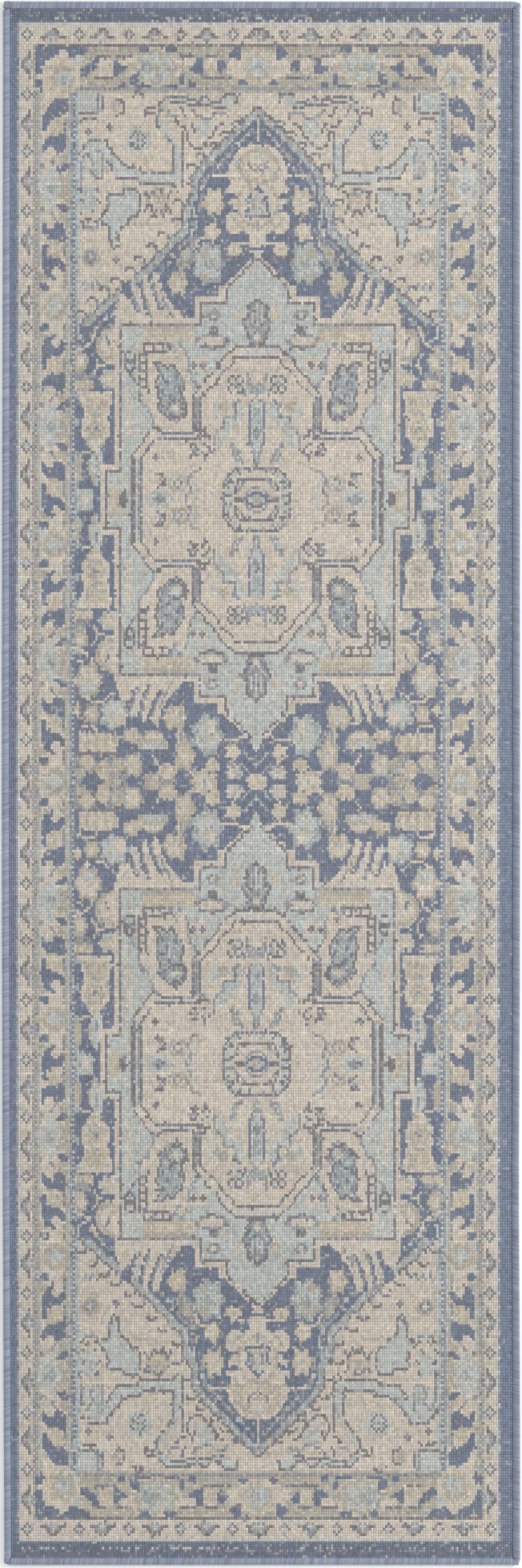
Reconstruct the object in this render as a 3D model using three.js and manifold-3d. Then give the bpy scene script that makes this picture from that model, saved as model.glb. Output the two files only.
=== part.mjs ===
// Machine-woven runner rug: a patterned pile on a woven ground with a sized back, held all round by four
// serged edges, each one a layer of yarn wrapped over a filler cord and over the margin of the rug.
// Millimetres. X runs across the rug, Y along it and Z up. The origin is the middle of the face on the floor.
import * as THREE from "three";
import { mergeVertices } from "three/addons/utils/BufferGeometryUtils.js";
import Module from "manifold-3d";

const wasm = await Module();
wasm.setup();

// Overall size, outside the serging.
const WIDTH = 610;
const LENGTH = 1845;
const CORNER_RADIUS = 5;

// Layers of the rug, from the floor up.
const SIZING = 0.6;
const GROUND = 2.4;
const PILE = 3.2;

// Serged edge: a cord, the yarn around it, and the margin of the rug that the yarn bites over.
const CORD_DIAMETER = 4.2;
const YARN = 1.1;
const BITE = 2.6;
const FIT = 0.3;

// Facets of a half circle, and of a cord.
const ARC_STEPS = 8;
const CORD_SIDES = 12;

// Levels and insets that several pieces share.
const EDGE_HEIGHT = CORD_DIAMETER + 2 * (YARN + FIT);
const CORD_AXIS = YARN + FIT + CORD_DIAMETER / 2;
const MARGIN_INSET = YARN + FIT + CORD_DIAMETER + FIT;
const EDGE_BAND = MARGIN_INSET + BITE;
const GROUND_LEVEL = SIZING;
const PILE_LEVEL = SIZING + GROUND;
const FACE_LEVEL = SIZING + GROUND + PILE;
const LOWER_LIP = YARN + FIT;
const UPPER_LIP = EDGE_HEIGHT - YARN - FIT;

const COLOURS = {
  pile: new THREE.Color(0.62, 0.61, 0.57),
  ground: new THREE.Color(0.66, 0.6, 0.49),
  sizing: new THREE.Color(0.72, 0.67, 0.56),
  serging: new THREE.Color(0.42, 0.46, 0.6),
  cord: new THREE.Color(0.74, 0.7, 0.62),
};

function fabric(colour, roughness) {
  return new THREE.MeshStandardMaterial({ color: COLOURS[colour], roughness, metalness: 0 });
}

// A closed mesh as a solid that can be joined and cut.
function solidOf(geometry) {
  const bare = geometry.clone();
  bare.deleteAttribute("normal");
  bare.deleteAttribute("uv");
  const merged = mergeVertices(bare, 1e-4);
  return new wasm.Manifold(
    new wasm.Mesh({
      numProp: 3,
      vertProperties: merged.attributes.position.array,
      triVerts: new Uint32Array(merged.index.array),
    }),
  );
}

function geometryOf(solid) {
  const mesh = solid.getMesh();
  const geometry = new THREE.BufferGeometry();
  geometry.setAttribute("position", new THREE.BufferAttribute(mesh.vertProperties, 3));
  geometry.setIndex(new THREE.BufferAttribute(mesh.triVerts, 1));
  const flat = geometry.toNonIndexed();
  flat.computeVertexNormals();
  return flat;
}

// A box centred across X and Y whose faces lie exactly at two levels, so that stacked layers meet face to face.
function slab(halfWidth, halfLength, bottom, top) {
  const geometry = new THREE.BoxGeometry(2 * halfWidth, 2 * halfLength, 1);
  const position = geometry.getAttribute("position");
  for (let i = 0; i < position.count; i += 1) {
    position.setZ(i, position.getZ(i) < 0 ? bottom : top);
  }
  return geometry;
}

// A bar's section with half-round sides.
function stadium(width, height) {
  const radius = height / 2;
  const straight = width / 2 - radius;
  const shape = new THREE.Shape();
  shape.moveTo(-straight, -radius);
  shape.lineTo(straight, -radius);
  shape.absarc(straight, 0, radius, -Math.PI / 2, Math.PI / 2, false);
  shape.lineTo(-straight, radius);
  shape.absarc(-straight, 0, radius, Math.PI / 2, (3 * Math.PI) / 2, false);
  return shape;
}

function roundedPlan(width, length, radius) {
  const x = width / 2 - radius;
  const y = length / 2 - radius;
  const shape = new THREE.Shape();
  shape.moveTo(x + radius, -y);
  shape.absarc(x, y, radius, 0, Math.PI / 2, false);
  shape.absarc(-x, y, radius, Math.PI / 2, Math.PI, false);
  shape.absarc(-x, -y, radius, Math.PI, (3 * Math.PI) / 2, false);
  shape.absarc(x, -y, radius, (3 * Math.PI) / 2, 2 * Math.PI, false);
  return shape;
}

function prism(shape, depth) {
  const geometry = new THREE.ExtrudeGeometry(shape, {
    depth,
    bevelEnabled: false,
    curveSegments: ARC_STEPS,
  });
  return geometry.translate(0, 0, -depth / 2);
}

// A pillow with half-round edges all round and rounded plan corners, its middle at the cord's height.
function pillow(width, length, height, radius) {
  const across = solidOf(prism(stadium(width, height), length).rotateX(Math.PI / 2));
  const along = solidOf(prism(stadium(length, height), width).rotateX(Math.PI / 2).rotateZ(Math.PI / 2));
  const plan = solidOf(prism(roundedPlan(width, length, radius), height));
  return across.intersect(along).intersect(plan).translate(0, 0, EDGE_HEIGHT / 2);
}

// The whole serged edge as one hollow frame, open on the inside, before it is parted into four runs.
function sergedFrame() {
  const outside = pillow(WIDTH, LENGTH, EDGE_HEIGHT, CORNER_RADIUS);
  const hollow = pillow(
    WIDTH - 2 * YARN,
    LENGTH - 2 * YARN,
    EDGE_HEIGHT - 2 * YARN,
    Math.max(CORNER_RADIUS - YARN, YARN),
  );
  const window = solidOf(slab(WIDTH / 2 - EDGE_BAND, LENGTH / 2 - EDGE_BAND, -1, EDGE_HEIGHT + 1));
  return outside.subtract(hollow).subtract(window);
}

// One end's run, which takes both corners, or one side's run between the two ends.
function sergingRun(frame, side) {
  const endDepth = EDGE_BAND;
  const sideLength = LENGTH - 2 * (EDGE_BAND + FIT);
  const box = side.alongX
    ? new THREE.BoxGeometry(WIDTH + 2, endDepth, EDGE_HEIGHT + 2)
    : new THREE.BoxGeometry(EDGE_BAND, sideLength, EDGE_HEIGHT + 2);
  const reach = side.alongX ? LENGTH / 2 - endDepth / 2 : WIDTH / 2 - EDGE_BAND / 2;
  box.translate(
    side.alongX ? 0 : side.sign * reach,
    side.alongX ? side.sign * reach : 0,
    EDGE_HEIGHT / 2,
  );
  return geometryOf(frame.intersect(solidOf(box)));
}

// A cord lies in its run, short of the rounded corners at the ends, or between the two end cords at the sides.
function cordLength(side) {
  return side.alongX
    ? WIDTH - 2 * (Math.max(CORNER_RADIUS, EDGE_HEIGHT / 2) + FIT)
    : LENGTH - 2 * (CORD_AXIS + CORD_DIAMETER / 2 + FIT);
}

function cord(side) {
  const radius = CORD_DIAMETER / 2;
  const mesh = new THREE.Mesh(
    new THREE.CylinderGeometry(radius, radius, cordLength(side), CORD_SIDES),
    fabric("cord", 0.9),
  );
  mesh.rotation.z = side.alongX ? Math.PI / 2 : 0;
  mesh.position.set(
    side.alongX ? 0 : side.sign * (WIDTH / 2 - CORD_AXIS),
    side.alongX ? side.sign * (LENGTH / 2 - CORD_AXIS) : 0,
    EDGE_HEIGHT / 2,
  );
  return mesh;
}

// A layer of the rug: full thickness inside the serging, and a pressed margin that the serging bites over.
function layer(bottom, top) {
  const inner = EDGE_BAND + FIT;
  const full = solidOf(slab(WIDTH / 2 - inner, LENGTH / 2 - inner, bottom, top));
  const marginBottom = Math.max(bottom, LOWER_LIP);
  const marginTop = Math.min(top, UPPER_LIP);
  const margin = solidOf(
    slab(WIDTH / 2 - MARGIN_INSET, LENGTH / 2 - MARGIN_INSET, marginBottom, marginTop),
  );
  return geometryOf(full.add(margin));
}

function named(name, mesh) {
  mesh.name = name;
  return mesh;
}

const SIDES = [
  { name: "head_end", alongX: true, sign: 1 },
  { name: "foot_end", alongX: true, sign: -1 },
  { name: "left", alongX: false, sign: -1 },
  { name: "right", alongX: false, sign: 1 },
];

const runner = new THREE.Group();

const inner = EDGE_BAND + FIT;
runner.add(
  named(
    "back_sizing",
    new THREE.Mesh(slab(WIDTH / 2 - inner, LENGTH / 2 - inner, 0, GROUND_LEVEL), fabric("sizing", 0.8)),
  ),
);
runner.add(named("ground_weave", new THREE.Mesh(layer(GROUND_LEVEL, PILE_LEVEL), fabric("ground", 0.95))));
runner.add(named("pile_face", new THREE.Mesh(layer(PILE_LEVEL, FACE_LEVEL), fabric("pile", 0.95))));

const frame = sergedFrame();
for (const side of SIDES) {
  runner.add(named(`serging_${side.name}`, new THREE.Mesh(sergingRun(frame, side), fabric("serging", 0.85))));
  runner.add(named(`edge_cord_${side.name}`, cord(side)));
}

export default runner;
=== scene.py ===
"""Runner rug: a knotted-look pile in ten yarns on a woven ground, with a sized back and four serged edges.

The pattern is a weaver's cartoon: a grid with the yarn of every knot, drawn with polygons, lines and small
motifs. Every knot of it becomes a small dome of pile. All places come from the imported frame, in metres.
"""

import bpy
import numpy as np
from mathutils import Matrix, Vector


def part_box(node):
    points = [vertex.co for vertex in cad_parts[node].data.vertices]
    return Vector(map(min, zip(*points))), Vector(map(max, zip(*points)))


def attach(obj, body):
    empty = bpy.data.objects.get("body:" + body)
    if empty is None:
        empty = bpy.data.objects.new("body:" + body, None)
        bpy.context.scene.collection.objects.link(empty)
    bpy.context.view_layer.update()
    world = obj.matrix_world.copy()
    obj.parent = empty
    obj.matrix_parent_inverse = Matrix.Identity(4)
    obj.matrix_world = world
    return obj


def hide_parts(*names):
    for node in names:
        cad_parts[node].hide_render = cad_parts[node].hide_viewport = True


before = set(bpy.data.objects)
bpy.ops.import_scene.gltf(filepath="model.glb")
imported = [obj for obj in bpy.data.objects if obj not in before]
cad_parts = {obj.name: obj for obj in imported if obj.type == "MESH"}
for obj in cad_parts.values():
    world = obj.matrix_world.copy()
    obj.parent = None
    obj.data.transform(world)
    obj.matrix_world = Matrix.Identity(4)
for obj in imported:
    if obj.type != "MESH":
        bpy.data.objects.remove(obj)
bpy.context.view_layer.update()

MM = 0.001
SEED = 20

# Sizes that come from the frame.
EDGE_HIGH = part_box("serging_head_end")[1]
SIDE_LOW, SIDE_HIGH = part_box("serging_right")
PILE_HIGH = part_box("pile_face")[1]
GROUND_LOW, GROUND_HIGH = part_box("ground_weave")
SIZING_LOW, SIZING_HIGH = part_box("back_sizing")
HALF_WIDTH = EDGE_HIGH[0]
HALF_LENGTH = EDGE_HIGH[1]
EDGE_BAND = SIDE_HIGH[0] - SIDE_LOW[0]
EDGE_HEIGHT = SIDE_HIGH[2] - SIDE_LOW[2]

# ---------------------------------------------------------------------------
# The cartoon: which yarn each knot of the pile is tied in.
# Places are in knots: x across from the middle line (negative on the left), r in rows from the head end.
# Only the upper left quarter is drawn. It is turned over to the right, and then to the foot end.
# ---------------------------------------------------------------------------
HALF_COLUMNS = 107          # the middle column and the 106 to its left
HALF_ROWS = 285             # the head half of the pattern
FOOT_BAND_ROWS = 1          # the plain band is this much deeper at the foot end
MEDALLION_MIDDLE = 180.5    # the row that the medallion turns over on
PALMETTE_ROW = 66.0         # side border: middle of the first aqua palmette
PALMETTE_STEP = 43.8        # side border: from a palmette to the next one
MAIN_BORDER_ROW = 29        # the side border starts below the corner palmette

LAST_ROW = HALF_ROWS - 1
TURN_ROW = 181              # the first row past the middle of the medallion
TURN_END = 272              # and the row where its turned half ends
FIELD_COLUMN = 27           # the first column of the field, inside the side border
SIDE_X = -93                # side border: its outermost column,
SIDE_COLUMNS = 14           # how many columns it has,
SIDE_ROWS = 44              # and how many rows half a repeat has

DENIM, NAVY, PLUM, SLATE, TEAL, AQUA, MIST, TAUPE, SAND, IVORY = range(10)

# A blossom, in shares of its half size: how deep its petals are, and how far out its parts reach.
RIM_SCALLOP = 0.14
INSIDE_REACH = 0.76
INSIDE_SCALLOP = 0.12
DOT_REACH = 0.5             # the dots lie this far out,
DOT_SPAN = 0.10             # give or take this much,
DOT_GAP = -0.2              # where the scallop is lower than this
DOTTED_SIZE = 6.0           # knots: a blossom with a half size up to this has no dots
HEART_REACH = 0.30
RING_HALF = 0.55            # knots: half the width of a ring's line


class Cartoon:
    """A grid of yarn numbers with the few drawing moves that a pattern needs."""

    def __init__(self, columns, rows, first_x, first_row, yarn=IVORY):
        self.first_x = first_x
        self.first_row = first_row
        self.grid = np.full((rows, columns), yarn, dtype=np.int8)
        self.x = first_x + np.arange(columns)
        self.r = first_row + np.arange(rows) + 0.5

    def fill(self, yarn, *points):
        """Fills a polygon."""
        px, pr = np.array(points, float).T
        inside = np.zeros(self.grid.shape, bool)
        for x0, r0, x1, r1 in zip(px, pr, np.roll(px, -1), np.roll(pr, -1)):
            if r0 == r1:
                continue
            spans = (self.r < r0) != (self.r < r1)
            crossing = x0 + (self.r - r0) * (x1 - x0) / (r1 - r0)
            inside ^= spans[:, None] & (self.x[None, :] < crossing[:, None])
        self.grid[inside] = yarn

    def box(self, yarn, x0, x1, r0, r1):
        """Fills the columns x0 to x1 and the rows r0 to r1, the last ones included."""
        across = (self.x >= x0) & (self.x <= x1)
        down = (self.r >= r0) & (self.r <= r1 + 1)
        self.grid[np.ix_(down, across)] = yarn

    def oval(self, yarn, x, r, half_x, half_r):
        """Fills an ellipse."""
        span = ((self.x[None, :] - x) / half_x) ** 2 + ((self.r[:, None] - r) / half_r) ** 2
        self.grid[span <= 1.0] = yarn

    def ring(self, yarn, x, r, half_x, half_r):
        """Draws the outline of an ellipse, about one knot wide."""
        span = np.hypot((self.x[None, :] - x) / half_x, (self.r[:, None] - r) / half_r)
        self.grid[abs(span - 1.0) * min(half_x, half_r) <= RING_HALF] = yarn

    def blossom(self, rim, inside, heart, x, r, half_x, half_r, petals=6):
        """Fills a round flower: a scalloped rim, an inside, a heart, and dots between if it is big."""
        across = (self.x[None, :] - x) / half_x
        down = (self.r[:, None] - r) / half_r
        reach = np.hypot(across, down)
        scallop = np.cos(petals * np.arctan2(down, across))
        self.grid[reach <= 1.0 + RIM_SCALLOP * scallop] = rim
        self.grid[reach <= INSIDE_REACH + INSIDE_SCALLOP * scallop] = inside
        if min(half_x, half_r) > DOTTED_SIZE:
            self.grid[(abs(reach - DOT_REACH) < DOT_SPAN) & (scallop < DOT_GAP)] = rim
        self.grid[reach <= HEART_REACH] = heart

    def line(self, yarn, *points):
        """Draws a line one knot wide through the points."""
        for (x0, r0), (x1, r1) in zip(points, points[1:]):
            steps = int(max(abs(x1 - x0), abs(r1 - r0))) + 1
            along = np.linspace(0.0, 1.0, steps + 1)
            column = np.rint(x0 + along * (x1 - x0) - self.first_x).astype(int)
            row = np.floor(r0 + along * (r1 - r0) - self.first_row).astype(int)
            kept = (column >= 0) & (column < len(self.x)) & (row >= 0) & (row < len(self.r))
            self.grid[row[kept], column[kept]] = yarn

    def shape(self, yarn, edge, *points):
        """Fills a polygon and outlines it."""
        self.fill(yarn, *points)
        self.line(edge, *points, points[0])

    def stamp(self, x, r, rows, yarns, turned=False):
        """Ties a small motif, given as rows of letters, with its middle at x, r."""
        motif = [list(row) for row in rows]
        if turned:
            motif = [list(row) for row in zip(*motif)]
        top = int(round(r - len(motif) / 2 - self.first_row))
        left = int(round(x - (len(motif[0]) - 1) / 2 - self.first_x))
        for i, letters in enumerate(motif):
            for j, letter in enumerate(letters):
                inside = 0 <= top + i < self.grid.shape[0] and 0 <= left + j < self.grid.shape[1]
                if letter in yarns and inside:
                    self.grid[top + i, left + j] = yarns[letter]


LETTERS = {"#": PLUM, "a": AQUA, "o": SLATE, "t": TAUPE, "i": IVORY, "n": NAVY, "s": SAND}

# Guard border: a small diamond, and a boat with its keel towards the field.
DIAMOND = (
    "..#..",
    ".#a#.",
    "#aia#",
    ".#a#.",
    "..#..",
)
BOAT = (
    "....###....",
    "...#oto#...",
    "..#ootoo#..",
    "###oaiao###",
    "....oao....",
)
STAR = (
    "..#.#..",
    ".#.#.#.",
    "#..a..#",
    ".#a#a#.",
    "#..a..#",
    ".#.#.#.",
    "..#.#..",
)
CROSS = (
    ".#.",
    "#o#",
    ".#.",
)
FLORET = (
    ".##.##.",
    "#aa#aa#",
    "#as#sa#",
    ".##t##.",
    "#as#sa#",
    "#aa#aa#",
    ".##.##.",
)


# yarn of each band, and the first column and row that it takes, from the outside in
BANDS = (
    (NAVY, -106, 0),
    (DENIM, -106, 5),
    (SLATE, -102, 5),
    (MIST, -101, 5),
    (IVORY, -100, 6),
    (TAUPE, -95, 13),
    (TEAL, -80, 27),
    (SLATE, -79, 28),
    (DENIM, -78, 29),
    (TEAL, -77, 30),
    (AQUA, -76, 31),
    (IVORY, -75, 31),
)


def draw_bands(c):
    """The plain band, the guard border and the lines on both sides of the main border."""
    for yarn, column, row in BANDS:
        c.box(yarn, column, 0, row, LAST_ROW)
    c.line(TAUPE, (-76, 30), (0, 30))
    for row in range(14, HALF_ROWS, 2):
        c.box(SLATE, -95, -95, row, row)
        c.box(SLATE, -94, -94, row + 1, row + 1)
        if row > 29:
            c.box(AQUA, -78, -78, row, row)


def draw_guard(c):
    """Diamonds and boats in turn, along the head end and down the side."""
    for k in range(5):
        c.stamp(-98 + 21.7 * k, 9.5, DIAMOND, LETTERS)
        c.stamp(-87.5 + 21.7 * k, 9.5, BOAT, LETTERS)
    for k in range(13):
        c.stamp(-98, 20.4 + 21.65 * k, BOAT, LETTERS, turned=True)
        c.stamp(-98, 31.2 + 21.65 * k, DIAMOND, LETTERS)


def draw_head_border(c):
    """Main border along the head end: a corner palmette, square flowers and three palmettes in all."""
    c.box(TAUPE, -93, 0, 14, 28)
    c.box(IVORY, -93, -76, 15, 28)
    c.fill(NAVY, (-94, 14), (-71, 14), (-71, 15), (-85, 15), (-84, 17), (-89, 18), (-91, 20), (-91, 23.5),
           (-94, 24))
    c.fill(NAVY, (-94, 25.5), (-92, 26), (-90, 29), (-94, 29))
    c.fill(NAVY, (-81.5, 15), (-72, 15), (-74, 17), (-77, 16.5), (-78, 18.5), (-80, 18.5))
    c.oval(AQUA, -76.5, 19, 2.2, 2.0)
    c.blossom(SAND, TAUPE, AQUA, -83, 25.5, 6.2, 6.2, 8)
    c.oval(AQUA, -82.5, 26, 3.2, 3.2)
    c.oval(TEAL, -82.5, 26.5, 1.2, 1.2)
    c.fill(NAVY, (-67.5, 18.5), (-69.5, 18.5), (-75, 22.5), (-75, 24.5), (-73, 25), (-68, 21))
    c.line(PLUM, (-68, 17), (-63, 17))
    c.line(PLUM, (-60, 17), (-53, 17))
    c.box(IVORY, -67, -62, 18, 24)
    c.oval(SAND, -64.5, 22, 2.6, 2.6)
    c.fill(IVORY, (-59, 18), (-54, 18), (-53, 20), (-58, 21))
    c.fill(NAVY, (-61.5, 18.5), (-59.5, 19), (-58.5, 21), (-55.5, 21), (-56.5, 23), (-58.5, 23),
           (-60, 25), (-61.5, 25))
    c.line(PLUM, (-69, 25), (-62, 25))
    c.oval(IVORY, -43.5, 21, 11.0, 7.6)
    c.blossom(TAUPE, AQUA, TAUPE, -43.5, 21.5, 9.6, 6.6, 8)
    c.oval(TEAL, -47, 21.5, 2.6, 3.0)
    c.fill(NAVY, (-54, 28), (-54, 25), (-51, 23), (-50, 25), (-51.5, 28))
    c.fill(NAVY, (-33, 28), (-33.5, 25), (-34, 23), (-31, 25), (-31, 28))
    for x0, x1, r0, r1 in ((-50, -47, 14, 15), (-39, -35, 14, 15), (-52, -46, 28, 28), (-39, -34, 28, 28),
                           (-29, -27, 27, 28), (-59, -57, 27, 28)):
        c.box(NAVY, x0, x1, r0, r1)
    c.line(PLUM, (-33, 17), (-27, 17))
    c.line(PLUM, (-22, 17), (-17, 17))
    c.fill(IVORY, (-33, 18), (-27, 18), (-26, 21), (-31, 21))
    c.fill(NAVY, (-30, 21), (-26, 21.5), (-26, 18), (-24, 18), (-23.5, 25), (-26, 24), (-29, 22.5))
    c.oval(IVORY, -20, 21, 2.8, 3.4)
    c.oval(SAND, -20, 21.5, 1.4, 2.0)
    c.fill(NAVY, (-17.5, 19), (-15.5, 19), (-12, 21), (-15.5, 22), (-16, 24), (-17.5, 23))
    c.line(PLUM, (-24, 25), (-12, 25))
    c.fill(IVORY, (1, 15), (-8, 16), (-13, 20), (-14, 24), (-9, 25), (-8, 28), (1, 28))
    c.fill(NAVY, (-7.5, 14), (-10.5, 14), (-12.5, 17), (-9, 19), (-7.5, 19))
    c.blossom(SAND, TAUPE, AQUA, 0, 21.5, 6.4, 5.8, 8)
    c.oval(AQUA, 0, 21.5, 4.2, 3.6)
    c.oval(TEAL, 0, 21.5, 1.2, 1.2)
    c.fill(NAVY, (-9, 28), (-7.5, 26.5), (-5, 26.5), (-4, 28))
    c.line(PLUM, (-94, 13), (0, 13))
    c.line(SLATE, (-77, 29), (0, 29))


def draw_side_unit():
    """Half a repeat of the side border, from the middle of an aqua palmette to the middle of a sand one."""
    u = Cartoon(SIDE_COLUMNS, SIDE_ROWS, SIDE_X, 0, TAUPE)
    u.box(IVORY, -91, -82, 0, 43)
    u.box(AQUA, -92, -92, 0, 43)
    u.box(AQUA, -80, -80, 8, 43)
    u.oval(TAUPE, -86, 0, 6.8, 5.4)
    u.oval(AQUA, -88.5, 0, 5.0, 4.4)
    u.oval(TEAL, -87.5, 0, 1.8, 1.8)
    u.box(IVORY, -80, -79, 0, 0)
    u.oval(IVORY, -87.5, 6.5, 3.8, 2.8)
    u.oval(AQUA, -87.5, 5.6, 2.2, 2.0)
    u.box(SLATE, -92, -91, 7, 8)
    u.fill(NAVY, (-85, 5.6), (-83, 5.8), (-80.6, 7.4), (-80.6, 9), (-83, 9), (-85, 7))
    u.line(SLATE, (-80, 7), (-80, 7))
    u.line(SLATE, (-88, 9), (-86, 11), (-85, 13))
    u.fill(TAUPE, (-84, 9.5), (-81, 9.5), (-81, 13), (-84, 11.5))
    u.fill(NAVY, (-92, 12.3), (-90.5, 13.2), (-89, 14.8), (-87, 15.2), (-86, 13), (-83.5, 12.4),
           (-81.4, 14.2), (-81.4, 20), (-83.5, 19.6), (-89, 18.8), (-91.6, 16.6))
    u.line(SLATE, (-82, 20), (-82, 25))
    u.line(TAUPE, (-89, 19), (-84, 20))
    u.oval(SAND, -86, 23, 3.2, 3.6)
    u.fill(NAVY, (-91.6, 20.6), (-90, 21.4), (-89, 25.2), (-84, 26.2), (-82, 28), (-81, 31.8),
           (-82.6, 31.2), (-84.2, 29.5), (-86.4, 29.5), (-87.4, 30.6), (-87, 32.4), (-85.4, 33.8),
           (-86.4, 34.4), (-89, 32.6), (-91.6, 29.8))
    u.line(SLATE, (-82, 32), (-82, 37))
    u.fill(TAUPE, (-92, 31), (-90.5, 31), (-88.6, 34), (-92, 34))
    u.fill(NAVY, (-92.4, 35), (-90.4, 34.4), (-88.6, 35.6), (-88.6, 38), (-90, 38), (-92, 37))
    u.line(SLATE, (-93, 39), (-93, 41))
    u.oval(TAUPE, -86, 44, 5.2, 5.0)
    u.oval(AQUA, -86, 44, 3.2, 3.0)
    u.oval(SAND, -91, 44, 1.6, 2.4)
    return u.grid


def draw_side_border(c):
    """Main border down the side: the half repeat turned over at every palmette."""
    unit = draw_side_unit()
    start = SIDE_X - c.first_x
    for row in range(MAIN_BORDER_ROW, HALF_ROWS):
        phase = (row + 0.5 - PALMETTE_ROW) % (2 * PALMETTE_STEP)
        folded = min(phase, 2 * PALMETTE_STEP - phase)
        c.grid[row, start:start + SIDE_COLUMNS] = unit[min(int(folded), SIDE_ROWS - 1)]
    c.box(IVORY, -91, -81, 29, 39)
    c.fill(NAVY, (-86, 33), (-80.6, 33), (-81, 38), (-84, 40), (-88, 41), (-90, 45), (-91.4, 44),
           (-91.4, 40), (-89.4, 36.5))


def draw_spandrel(c):
    """Ivory corner between the border and the stepped ground: a block, an angular vine and florets."""
    c.box(AQUA, -76, -69, 31, 38)
    c.line(SLATE, (-68, 31), (-68, 38))
    c.line(AQUA, (-67, 31), (-67, 38))
    c.line(PLUM, (-66, 32), (-66, 37))
    c.line(PLUM, (-76, 38), (-69, 38))
    c.line(PLUM, (-75, 41), (-72, 40), (-68, 41))
    c.fill(TAUPE, (-63, 34), (-59, 34), (-58, 39), (-61, 39))
    c.line(PLUM, (-60, 33), (-58, 33), (-57, 35), (-57, 38), (-60, 39))
    c.line(PLUM, (-53, 32), (-51, 30), (-49, 32))
    c.oval(AQUA, -50.5, 48, 5.5, 5.0)
    c.stamp(-50.5, 48.5, STAR, LETTERS)
    c.stamp(-72, 45, CROSS, LETTERS)
    c.stamp(-63, 44, CROSS, LETTERS)
    c.blossom(SAND, IVORY, SAND, -48, 57.0, 4.4, 3.4)
    draw_vine(c)
    draw_bird_leaf(c)
    c.blossom(TAUPE, SAND, TAUPE, -42.5, 70.5, 4.8, 4.6)
    c.line(PLUM, (-48, 67), (-46, 69), (-44, 67), (-42, 66), (-40, 68), (-38, 69), (-37, 67))
    c.line(PLUM, (-48, 74), (-46, 72), (-44, 76), (-42, 74), (-40, 76), (-38, 72), (-37, 75))
    c.line(TEAL, (-45, 68), (-39, 68))
    c.line(TAUPE, (-53, 79), (-44, 79))
    c.ring(TAUPE, -71, 91.5, 3.4, 2.6)
    c.ring(SLATE, -71, 91.5, 2.2, 1.6)
    c.stamp(-60, 92.5, CROSS, LETTERS)
    c.line(SLATE, (-74, 80), (-68, 80))
    c.line(AQUA, (-74, 81), (-68, 81))
    for x in range(-74, -66, 3):
        c.line(SLATE, (x, 101), (x + 1, 103))
        c.line(AQUA, (x + 1, 101), (x + 2, 103))
    c.oval(AQUA, -72, 70, 4.0, 4.5)
    for x, r in ((-76, 66), (-69, 66), (-75, 70), (-68, 70), (-76, 74), (-70, 74), (-73, 77), (-75, 78),
                 (-69, 78)):
        c.line(PLUM, (x, r), (x + 1, r + 1))


def draw_vine(c):
    """The big angular vine of the corner: a pale aqua band between two dark lines, and a seed at its end."""
    upper = ((-76, 53), (-73, 50), (-71, 48), (-65, 48), (-63, 51), (-60, 54), (-58, 57), (-55, 58),
             (-51, 58), (-49, 60), (-36, 60), (-36, 50), (-38, 48), (-40, 45), (-43, 42), (-43, 39),
             (-41, 37))
    lower = ((-41, 41), (-39, 43), (-36, 47), (-34, 50), (-32, 50), (-32, 63), (-34, 65), (-37, 64),
             (-50, 64), (-52, 62), (-60, 62), (-62, 59), (-65, 56), (-66, 55))
    c.fill(AQUA, *upper, *lower)
    c.line(PLUM, *upper)
    c.line(PLUM, (-34, 66), (-37, 64), (-50, 64), (-52, 62), (-60, 62), (-61, 60), (-63, 57), (-66, 55))
    c.line(PLUM, (-32, 45), (-32, 64))
    c.line(PLUM, (-44, 38), (-48, 39), (-48, 37), (-43, 36), (-41, 34), (-38, 32), (-30, 32))
    c.fill(AQUA, (-44, 37), (-41, 35), (-38, 33), (-23, 33), (-20, 34.5), (-16, 33.5), (-14, 31.5),
           (-9, 31.5), (-9, 34), (-13, 36), (-18, 36), (-31, 35), (-37, 35), (-41, 37))
    c.line(PLUM, (-37, 34), (-31, 34), (-29, 33), (-26, 34), (-23, 32), (-21, 33))
    c.line(PLUM, (-30, 35), (-23, 35), (-19, 36), (-15, 36))
    c.line(PLUM, (-20, 34), (-16, 34), (-14, 31), (-9, 31), (-9, 34))
    c.line(SLATE, (-40, 36), (-37, 39), (-34, 39))
    c.line(PLUM, (-33, 36), (-31, 39))
    c.line(PLUM, (-35, 41), (-33, 43), (-31, 43))
    c.line(SLATE, (-28, 37), (-26, 39), (-23, 40), (-20, 40), (-18, 38), (-14, 38), (-13, 40))
    c.fill(AQUA, (-26, 40), (-21, 41), (-18, 42), (-21, 46), (-24, 48), (-27, 49), (-25, 45))
    c.line(PLUM, (-29, 44), (-30, 47), (-29, 50), (-27, 51), (-24, 51), (-22, 49), (-20, 47), (-17, 43),
           (-15, 42))
    c.line(PLUM, (-28, 42), (-27, 45))
    c.fill(AQUA, (-75, 53), (-71, 50), (-65, 50), (-64, 55), (-66, 63), (-70, 63), (-74, 60))
    c.fill(IVORY, (-73, 54), (-71, 55), (-70, 58), (-72, 61))
    c.line(SLATE, (-74, 54), (-75, 57), (-75, 65))
    c.line(SLATE, (-73, 53), (-70, 56), (-71, 60), (-69, 62), (-66, 62), (-66, 55), (-67, 52))
    c.line(TAUPE, (-68, 55), (-68, 60))


def draw_bird_leaf(c):
    """A long leaf with a hooked tail, pale aqua inside a dark outline."""
    c.shape(AQUA, PLUM, (-50, 68), (-52, 66), (-56, 66), (-58, 68), (-64, 69), (-63, 72), (-65, 75),
            (-67, 77), (-66, 79), (-63, 80), (-63, 85), (-61, 88), (-59, 87), (-59, 82), (-57, 80),
            (-55, 79), (-54, 76), (-51, 76), (-50, 74))


GROUND_EDGE = ((0, 36), (-4, 39), (-9, 43), (-13, 47), (-18, 51), (-22, 55), (-25, 58), (-27.5, 61),
               (-27.5, 68), (-29.5, 70.5), (-31.5, 73), (-31.5, 80), (-35, 83), (-41, 89), (-48, 95),
               (-56, 101.5), (-64, 107), (-72, 113.5), (-77, 117.5))


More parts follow.
